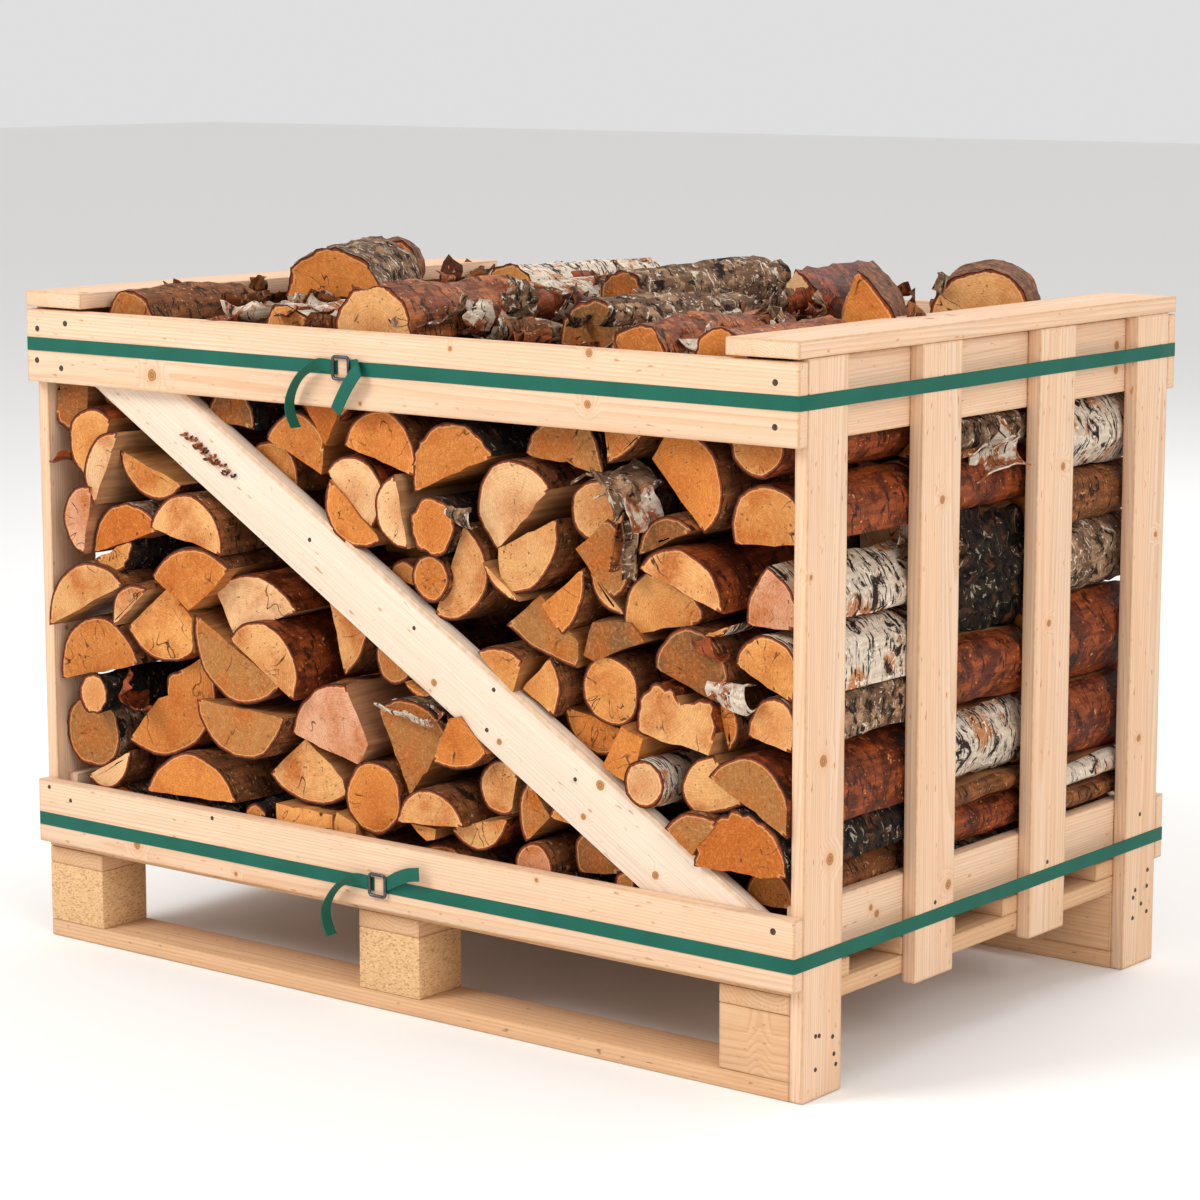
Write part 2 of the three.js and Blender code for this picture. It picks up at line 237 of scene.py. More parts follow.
def makeBoard(node, seed):
    rng = random.Random(seed)
    low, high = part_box(node)
    centre = (low + high) / 2
    half = (high - low) / 2
    slotName, look = "spruce_board", spruceLook
    if node.startswith(("cap_rail", "brace")):
        slotName = "pale_spruce"
    if node.startswith("brace"):
        look = paleLook
    if node.startswith("pallet"):
        slotName, look = "pallet_wood", palletLook
    length = max(range(3), key=lambda i: half[i])
    thin = min(range(3), key=lambda i: half[i])
    flat = [0.0 if i == thin else 1.0 for i in range(3)]
    turn = (0, 0, 0)
    alongBoard = Vector([1.0 if i == length else 0.0 for i in range(3)])
    if length == 1:
        turn = (0, 0, -math.pi / 2)
    if length == 2:
        turn = (0, math.pi / 2, 0)
    if node.startswith("brace"):
        slope = -math.atan(0.5956)
        turn = (0, slope, 0)
        alongBoard = Euler(turn).to_matrix().inverted() @ Vector((1, 0, 0))
        half = Vector((0.66, 0.009, 0.04225))
    shownHalf = half
    if length == 1 and not node.startswith("brace"):
        shownHalf = Vector((half[1], half[0], half[2]))
    if length == 2 and not node.startswith("brace"):
        shownHalf = Vector((half[2], half[1], half[0]))
    knots = list(boardKnots.get(node, []))
    if not knots:
        for i in range(boardShape["freeKnots"]):
            spot = [rng.uniform(low[k] + 0.01, high[k] - 0.01) / mm if flat[k] else centre[k] / mm for k in range(3)]
            knots.append((*spot, rng.uniform(2.5, 6.5)))
    isPressed = "block" in node and not node.endswith("right")
    if isPressed:
        slotName = "pressed_block"
        material = chipBlock
    else:
        material = sawnWood(node + "Wood", look, centre, shownHalf, turn, knots, flat, seed)

    bm = bmesh.new()
    bm.from_mesh(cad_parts[node].data)
    bmesh.ops.remove_doubles(bm, verts=bm.verts[:], dist=1e-5)
    bmesh.ops.dissolve_limit(bm, angle_limit=0.02, verts=bm.verts[:], edges=bm.edges[:])
    bmesh.ops.recalc_face_normals(bm, faces=bm.faces[:])
    bmesh.ops.bevel(bm, geom=bm.edges[:], offset=boardShape["edgeRound"] * mm, affect="EDGES", segments=2,
                    profile=0.5, material=-1)
    reach = max(half)
    steps = max(1, int(2 * reach / (boardShape["station"] * mm)))
    for i in range(1, steps):
        spot = centre + alongBoard * (-reach + 2 * reach * i / steps)
        geometry = bm.verts[:] + bm.edges[:] + bm.faces[:]
        bmesh.ops.bisect_plane(bm, geom=geometry, dist=1e-5, plane_co=spot, plane_no=alongBoard)
    for vert in bm.verts:
        push = noise.noise_vector(vert.co * 7 + Vector((seed, 0, 0))) + noise.noise_vector(vert.co * 40) * 0.4
        vert.co += push * boardShape["waver"] * mm
    finishPiece(bm, node + "_sawn", [material], [node])


for index, node in enumerate(sorted(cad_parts)):
    if isBoard(node):
        makeBoard(node, index + 11)
print("boards done")


# split birch logs

endTones = {"tan": "#d69450", "pale": "#e6b683", "light": "#dea366", "orange": "#cb7b35", "strong": "#c0661f",
            "brown": "#ab7038", "pink": "#dba07c", "dim": "#7a5029"}
# Each bark kind, as a birch shows it: colours, where each kind of mark begins on its noise, sizes in mm
barkLooks = {
    # papery outer bark: cream with pink-orange patches, dark lenticels and black scars
    "white": {"ground": "#dbc9b3", "patch": "#c07f50", "patchFrom": 0.53, "patchSize": 45, "mark": "#2a1f18",
              "markFrom": 0.575, "scar": "#241913", "scarFrom": 0.535, "scarSize": 30, "fleck": "#f0e2d0",
              "fleckFrom": 0.58, "fleckSize": 9, "streak": 0.25, "relief": 3.0, "roughness": 0.66},
    # old bark at the foot of the tree: furrowed grey-brown plates
    "paper": {"ground": "#dccbb5", "patch": "#a85f34", "patchFrom": 0.485, "patchSize": 24, "mark": "#3a2418",
              "markFrom": 0.60, "scar": "#2c1a10", "scarFrom": 0.58, "scarSize": 14, "fleck": "#f0e4d3",
              "fleckFrom": 0.60, "fleckSize": 7, "streak": 0.4, "relief": 2.4, "roughness": 0.7},
    "grey": {"ground": "#75563f", "patch": "#b08a68", "patchFrom": 0.50, "patchSize": 26, "mark": "#dccbb6",
             "markFrom": 0.64, "scar": "#20160f", "scarFrom": 0.525, "scarSize": 22, "fleck": "#dccfbd",
             "fleckFrom": 0.59, "fleckSize": 11, "streak": 0.4, "relief": 4.2, "roughness": 0.85},
    # thick crusted bark, nearly black with pale and rusty flecks
    "black": {"ground": "#33261b", "patch": "#6b3f22", "patchFrom": 0.54, "patchSize": 24, "mark": "#b5a590",
              "markFrom": 0.67, "scar": "#0d0907", "scarFrom": 0.49, "scarSize": 18, "fleck": "#b3a48f",
              "fleckFrom": 0.60, "fleckSize": 15, "streak": 0.3, "relief": 9.0, "roughness": 0.9},
    # inner bark left after the paper peeled off: smooth rust red
    "red": {"ground": "#9c481d", "patch": "#64290f", "patchFrom": 0.475, "patchSize": 36, "mark": "#451c0b",
            "markFrom": 0.61, "scar": "#2a1207", "scarFrom": 0.555, "scarSize": 24, "fleck": "#d48c50",
            "fleckFrom": 0.63, "fleckSize": 8, "streak": 0.6, "relief": 2.4, "roughness": 0.55},
    "brown": {"ground": "#7e4a26", "patch": "#9b5c30", "patchFrom": 0.50, "patchSize": 34, "mark": "#3c2212",
              "markFrom": 0.61, "scar": "#24140a", "scarFrom": 0.55, "scarSize": 24, "fleck": "#b98f68",
              "fleckFrom": 0.61, "fleckSize": 9, "streak": 0.55, "relief": 2.4, "roughness": 0.72},
}


def barkMaterial(name, look):
    # marks run round the log, as lenticels do; streaks run along it
    material, tree, shader = newMaterial(name, look["roughness"], 0.22)
    place = addNode(tree, "Attribute", attribute_name="logPlace").outputs["Vector"]
    patches = addNode(tree, "TexNoise", {"Scale": 1000 / look["patchSize"], "Detail": 5, "Roughness": 0.62},
                      {"Vector": place})
    patchMask = addNode(tree, "MapRange", {"From Min": look["patchFrom"], "From Max": look["patchFrom"] + 0.08},
                        {"Value": patches})
    markScale = addNode(tree, "VectorMath", {1: (30, 210, 30)}, {0: place}, operation="MULTIPLY")
    marks = addNode(tree, "TexNoise", {"Scale": 1, "Detail": 2.5, "Roughness": 0.6}, {"Vector": markScale})
    markMask = addNode(tree, "MapRange", {"From Min": look["markFrom"], "From Max": look["markFrom"] + 0.03},
                       {"Value": marks})
    scarScale = addNode(tree, "VectorMath", {1: (1, 1.5, 1)}, {0: place}, operation="MULTIPLY")
    scars = addNode(tree, "TexNoise", {"Scale": 1000 / look["scarSize"], "Detail": 7, "Roughness": 0.7,
                                       "Distortion": 0.7}, {"Vector": scarScale})
    scarMask = addNode(tree, "MapRange", {"From Min": look["scarFrom"], "From Max": look["scarFrom"] + 0.05},
                       {"Value": scars})
    flecks = addNode(tree, "TexNoise", {"Scale": 1000 / look["fleckSize"], "Detail": 4, "Roughness": 0.65, "Distortion": 1.2},
                     {"Vector": place})
    fleckMask = addNode(tree, "MapRange", {"From Min": look["fleckFrom"], "From Max": look["fleckFrom"] + 0.04},
                        {"Value": flecks})
    streakScale = addNode(tree, "VectorMath", {1: (150, 22, 150)}, {0: place}, operation="MULTIPLY")
    streaks = addNode(tree, "TexNoise", {"Scale": 1, "Detail": 4, "Roughness": 0.65}, {"Vector": streakScale})
    streakTone = addNode(tree, "MapRange", {"From Min": 0.35, "From Max": 0.65, "To Min": 1 - look["streak"],
                                            "To Max": 1.08}, {"Value": streaks})
    ground = addNode(tree, "Mix", {6: linear(look["ground"]), 7: linear(look["patch"])}, {0: patchMask},
                     data_type="RGBA")
    streaked = addNode(tree, "VectorMath", links={0: ground, "Scale": streakTone}, operation="SCALE")
    marked = addNode(tree, "Mix", {7: linear(look["mark"])}, {0: markMask, 6: streaked}, data_type="RGBA")
    flecked = addNode(tree, "Mix", {7: linear(look["fleck"])}, {0: fleckMask, 6: marked}, data_type="RGBA")
    scarred = addNode(tree, "Mix", {7: linear(look["scar"])}, {0: scarMask, 6: flecked}, data_type="RGBA")
    tree.links.new(scarred.outputs[2], shader.inputs["Base Color"])
    rough = addNode(tree, "MapRange", {"To Min": look["roughness"] - 0.12, "To Max": look["roughness"] + 0.15},
                    {"Value": flecks})
    tree.links.new(rough.outputs[0], shader.inputs["Roughness"])
    crust = addNode(tree, "Math", links={0: streaks, 1: scars}, operation="SUBTRACT")
    flakes = addNode(tree, "Math", {1: 0.4}, {0: flecks}, operation="MULTIPLY")
    height = addNode(tree, "Math", links={0: crust, 1: flakes}, operation="ADD")
    bump = addNode(tree, "Bump", {"Strength": 0.9, "Distance": look["relief"] * mm}, {"Height": height})
    tree.links.new(bump.outputs[0], shader.inputs["Normal"])
    return material


# partly painted light: a lighter, more orange copy of the red bark with paler flecks, for the heap logs, flakes,
# shreds and brace scar that lie in full light, while the red copy stays in the shaded gaps
barkLooks["rustLit"] = dict(barkLooks["red"], ground="#bd6c38", patch="#8c451f", fleck="#e8b68a", relief=3.4)
barks = {kind: barkMaterial("birchBark" + kind.capitalize(), look) for kind, look in barkLooks.items()}

# Saw-cut birch end: faint rings, darker heart, radial drying cracks, a thin dark bark rim
endLook = {"ring": 3.4, "heart": "#b35c17", "crack": "#4a2711", "sapwood": "#e6b880", "bast": "#8a3a12",
           "barkRim": "#2a150a"}


def endGrain():
    material, tree, shader = newMaterial("birchEndSawn", 0.72, 0.2)
    place = addNode(tree, "Attribute", attribute_name="logPlace").outputs["Vector"]
    tone = addNode(tree, "Attribute", attribute_name="tone").outputs["Color"]
    rim = addNode(tree, "Attribute", attribute_name="rim").outputs["Fac"]
    warp = addNode(tree, "TexNoise", {"Scale": 22, "Detail": 3}, {"Vector": place})
    parts = addNode(tree, "SeparateXYZ", links={0: place})
    onEnd = addNode(tree, "VectorMath", {1: (1, 0, 1)}, {0: place}, operation="MULTIPLY")
    radius = addNode(tree, "VectorMath", links={0: onEnd}, operation="LENGTH").outputs["Value"]
    push = addNode(tree, "MapRange", {"To Min": -0.006, "To Max": 0.006}, {"Value": warp})
    warped = addNode(tree, "Math", links={0: radius, 1: push}, operation="ADD")
    turns = addNode(tree, "Math", {1: 2 * math.pi / (endLook["ring"] * mm)}, {0: warped}, operation="MULTIPLY")
    rings = addNode(tree, "Math", links={0: turns}, operation="SINE")
    ringTone = addNode(tree, "MapRange", {"From Min": -1, "From Max": 1, "To Min": 0.90, "To Max": 1.03},
                       {"Value": rings})
    angle = addNode(tree, "Math", links={0: parts.outputs[2], 1: parts.outputs[0]}, operation="ARCTAN2")
    rayPlace = addNode(tree, "CombineXYZ", links={0: angle, 1: radius, 2: parts.outputs[1]})
    rayScale = addNode(tree, "VectorMath", {1: (1.5, 14, 3)}, {0: rayPlace}, operation="MULTIPLY")
    rays = addNode(tree, "TexNoise", {"Scale": 1, "Detail": 2}, {"Vector": rayScale})
    nearLine = addNode(tree, "Math", {1: 0.5}, {0: rays}, operation="SUBTRACT")
    offLine = addNode(tree, "Math", links={0: nearLine}, operation="ABSOLUTE")
    crackLine = addNode(tree, "MapRange", {"From Min": 0.010, "From Max": 0.003}, {"Value": offLine})
    crackPlaces = addNode(tree, "MapRange", {"From Min": 0.5, "From Max": 0.6}, {"Value": warp})
    cracks = addNode(tree, "Math", links={0: crackLine, 1: crackPlaces}, operation="MULTIPLY")
    # sawdust-rough patches at two sizes
    stain = addNode(tree, "TexNoise", {"Scale": 16, "Detail": 5, "Roughness": 0.6}, {"Vector": place})
    stainMask = addNode(tree, "MapRange", {"From Min": 0.45, "From Max": 0.66, "To Max": 0.85}, {"Value": stain})
    heartField = addNode(tree, "MapRange", {"From Min": 0.045, "From Max": 0.0, "To Max": 0.55}, {"Value": warped},
                         interpolation_type="SMOOTHSTEP")
    stained = addNode(tree, "Math", links={0: stainMask, 1: heartField}, operation="MAXIMUM")
    fine = addNode(tree, "TexNoise", {"Scale": 260, "Detail": 3, "Roughness": 0.7}, {"Vector": place})
    grit = addNode(tree, "MapRange", {"From Min": 0.3, "From Max": 0.7, "To Min": 0.82, "To Max": 1.06}, {"Value": fine})
    heart = addNode(tree, "Mix", {7: linear(endLook["heart"])}, {0: stained, 6: tone}, data_type="RGBA")
    shade = addNode(tree, "Math", links={0: ringTone, 1: grit}, operation="MULTIPLY")
    shaded = addNode(tree, "VectorMath", links={0: heart, "Scale": shade}, operation="SCALE")
    specks = addNode(tree, "TexNoise", {"Scale": 210, "Detail": 2}, {"Vector": place})
    speckMask = addNode(tree, "MapRange", {"From Min": 0.66, "From Max": 0.72, "To Max": 0.7}, {"Value": specks})
    marked = addNode(tree, "Math", links={0: cracks, 1: speckMask}, operation="MAXIMUM")
    cracked = addNode(tree, "Mix", {7: linear(endLook["crack"])}, {0: marked, 6: shaded}, data_type="RGBA")
    rimWarp = addNode(tree, "MapRange", {"To Min": -0.25, "To Max": 0.25}, {"Value": fine})
    rimField = addNode(tree, "Math", links={0: rim, 1: rimWarp}, operation="ADD")
    sapMask = addNode(tree, "MapRange", {"From Min": 0.0, "From Max": 0.25, "To Max": 0.45}, {"Value": rimField})
    barkMask = addNode(tree, "MapRange", {"From Min": 0.30, "From Max": 0.40}, {"Value": rimField})
    barkTone = addNode(tree, "ValToRGB", links={"Fac": rimField},
                       stops=[(0.55, endLook["bast"]), (0.85, endLook["barkRim"])])
    sap = addNode(tree, "Mix", {7: linear(endLook["sapwood"])}, {0: sapMask, 6: cracked}, data_type="RGBA")
    rimmed = addNode(tree, "Mix", links={0: barkMask, 6: sap, 7: barkTone}, data_type="RGBA")
    tree.links.new(rimmed.outputs[2], shader.inputs["Base Color"])
    # band-saw lines 3 mm apart, drawn a little coarse so that they show
    sawScale = addNode(tree, "TexWave", {"Scale": 100, "Distortion": 2, "Detail": 1}, {"Vector": place},
                       wave_type="BANDS", bands_direction="DIAGONAL")
    sawn = addNode(tree, "Math", {1: 0.3}, {0: sawScale}, operation="MULTIPLY")
    uneven = addNode(tree, "Math", links={0: sawn, 1: fine}, operation="ADD")
    deep = addNode(tree, "Math", {1: 2.0}, {0: cracks}, operation="MULTIPLY")
    relief = addNode(tree, "Math", links={0: uneven, 1: deep}, operation="SUBTRACT")
    bump = addNode(tree, "Bump", {"Strength": 0.5, "Distance": 0.7 * mm}, {"Height": relief})
    tree.links.new(bump.outputs[0], shader.inputs["Normal"])
    return material


# Split faces are torn along the fibres: long pale ridges with brown streaks
splitLook = {"pale": "#c08a55", "streak": "#824c26", "dark": "#4c2a16"}


def splitWood():
    material, tree, shader = newMaterial("birchSplitTorn", 0.75, 0.2)
    place = addNode(tree, "Attribute", attribute_name="logPlace").outputs["Vector"]
    tone = addNode(tree, "Attribute", attribute_name="tone").outputs["Color"]
    longPlace = addNode(tree, "VectorMath", {1: (150, 9, 150)}, {0: place}, operation="MULTIPLY")
    fibres = addNode(tree, "TexNoise", {"Scale": 1, "Detail": 5, "Roughness": 0.65}, {"Vector": longPlace})
    widePlace = addNode(tree, "VectorMath", {1: (26, 5, 26)}, {0: place}, operation="MULTIPLY")
    wide = addNode(tree, "TexNoise", {"Scale": 1, "Detail": 3}, {"Vector": widePlace})
    fibreTone = addNode(tree, "ValToRGB", links={"Fac": fibres},
                        stops=[(0.28, splitLook["dark"]), (0.72, splitLook["pale"]), (0.45, splitLook["streak"])])
    mixed = addNode(tree, "Mix", {0: 0.68}, {6: tone, 7: fibreTone}, data_type="RGBA")
    wideMask = addNode(tree, "MapRange", {"From Min": 0.5, "From Max": 0.75, "To Max": 0.7}, {"Value": wide})
    warm = addNode(tree, "Mix", {7: linear(splitLook["streak"])}, {0: wideMask, 6: mixed}, data_type="RGBA")
    tree.links.new(warm.outputs[2], shader.inputs["Base Color"])
    bump = addNode(tree, "Bump", {"Strength": 0.9, "Distance": 1.6 * mm}, {"Height": fibres})
    tree.links.new(bump.outputs[0], shader.inputs["Normal"])
    return material


logEnd = endGrain()
logSplit = splitWood()
logShape = {"arcStep": 8, "splitStep": 13, "rings": 14, "rimWidth": 6.0, "crooked": 2.2, "endTilt": 0.045}


def logOutline(outline):
    # a tuple is a round log; in a list each point may carry how far the bark bulges beyond the edge it starts
    if isinstance(outline, tuple):
        x, z, radius = outline
        steps = round(2 * math.pi * radius / logShape["arcStep"])
        angles = [2 * math.pi * i / steps for i in range(steps)]
        return [(x + radius * math.cos(a), z + radius * math.sin(a), True) for a in angles], Vector((x, z))
    ring, pith, widest = [], None, 0
    for i, point in enumerate(outline):
        start = Vector(point[:2])
        edge = Vector(outline[(i + 1) % len(outline)][:2]) - start
        bulge = point[2] if len(point) > 2 else 0
        along = edge.normalized()
        outward = Vector((along.y, -along.x))
        chord = edge.length / 2
        if bulge:
            radius = (chord * chord + bulge * bulge) / (2 * bulge)
            spread = math.atan2(chord, radius - bulge)
            middle = start + edge / 2 + outward * (bulge - radius)
            steps = max(2, round(2 * spread * radius / logShape["arcStep"]))
            for k in range(steps):
                angle = spread * (2 * k / steps - 1)
                spot = middle + (along * math.sin(angle) + outward * math.cos(angle)) * radius
                ring.append((spot.x, spot.y, True))
            if spread * radius > widest:
                pith, widest = middle, spread * radius
        else:
            steps = max(1, round(edge.length / logShape["splitStep"]))
            for k in range(steps):
                spot = start + edge * k / steps
                ring.append((spot.x, spot.y, False))
    if pith is None:
        pith = Vector(outline[0][:2])
    return ring, pith


def makeLog(name, node, outline, near, far, tone, bark, seed, turned=None, rugged=1.0):
    rng = random.Random(seed)
    ring, pith = logOutline(outline)
    bm = bmesh.new()
    placeLayer = bm.verts.layers.float_vector.new("logPlace")
    toneLayer = bm.verts.layers.float_color.new("tone")
    rimLayer = bm.verts.layers.float.new("rim")
    nearVerts = [bm.verts.new((x * mm, near * mm, z * mm)) for x, z, onBark in ring]
    face = bm.faces.new(nearVerts)
    barkSpots = [ring[k % len(ring)] for i, entry in enumerate(ring) if entry[2] for k in (i, i + 1)]
    barkEdges = {frozenset((nearVerts[i], nearVerts[(i + 1) % len(ring)]))
                 for i, entry in enumerate(ring) if entry[2]}
    grown = bmesh.ops.extrude_face_region(bm, geom=[face])["geom"]
    farVerts = [g for g in grown if isinstance(g, bmesh.types.BMVert)]
    bmesh.ops.translate(bm, verts=farVerts, vec=(0, (far - near) * mm, 0))
    nearSet, farSet = set(nearVerts), set(farVerts)
    ends, longEdges = [], []
    for side in bm.faces:
        if all(v in nearSet for v in side.verts) or all(v in farSet for v in side.verts):
            ends.append(side)
            continue
        nearPair = frozenset(v for v in side.verts if v in nearSet)
        side.material_index = 1 if nearPair in barkEdges else 2
    for edge in bm.edges:
        if (edge.verts[0] in nearSet) != (edge.verts[1] in nearSet):
            longEdges.append(edge)
    bmesh.ops.subdivide_edges(bm, edges=longEdges, cuts=logShape["rings"], use_grid_fill=True)
    for end in ends:
        bmesh.ops.inset_region(bm, faces=[end], thickness=logShape["rimWidth"] * mm, use_even_offset=False)
    offset = seed * 0.73
    middleX = sum(x for x, z, onBark in ring) / len(ring)
    middleZ = sum(z for x, z, onBark in ring) / len(ring)
    tiltX, tiltZ = [rng.uniform(-1, 1) * logShape["endTilt"] for i in range(2)]
    colour = linear(endTones[tone])
    shade = rng.uniform(0.88, 1.1)
    colour = [c * shade for c in colour[:3]] + [1]
    rough = barkLooks[bark]["relief"]
    for vert in bm.verts:
        x, y, z = vert.co / mm
        vert[placeLayer] = Vector(((x - pith.x) * mm, y * mm + offset, (z - pith.y) * mm))
        vert[toneLayer] = colour
        atEnd = abs(y - near) < 0.5 or abs(y - far) < 0.5
        onRim = atEnd and any(abs(x - spot[0]) < 0.05 and abs(z - spot[1]) < 0.05 for spot in barkSpots)
        vert[rimLayer] = 1.0 if onRim else 0.0
        out = Vector((x - middleX, 0, z - middleZ)).normalized()
        knobs = noise.noise(Vector((x * 0.03, (y + seed * 97) * 0.012, z * 0.03))) * 3.4 * rugged
        grit = noise.noise(Vector((x * 0.09, (y + seed * 61) * 0.06, z * 0.09))) * rough * 0.6 * rugged
        sway = noise.noise_vector(Vector((seed * 5.1, y * 0.008, 0))) * logShape["crooked"] * rugged
        x += sway.x + out.x * (knobs + grit)
        z += sway.z + out.z * (knobs + grit)
        if atEnd:
            y += (x - middleX) * tiltX + (z - middleZ) * tiltZ
            y += noise.noise(Vector((x * 0.04, seed * 3.0, z * 0.04))) * 1.6
        vert.co = Vector((x, y, z)) * mm
    if turned:
        bmesh.ops.transform(bm, matrix=turned, verts=bm.verts[:])
    else:
        for vert in bm.verts:
            beyond = 0.572 if vert.co.z > 0.742 or vert.co.z < 0.224 else 0.5895
            vert.co.x = max(-beyond, min(beyond, vert.co.x))
            vert.co.z = max(0.1446, vert.co.z)
    return finishPiece(bm, name, [logEnd, barks[bark], logSplit], [node], 0.7)


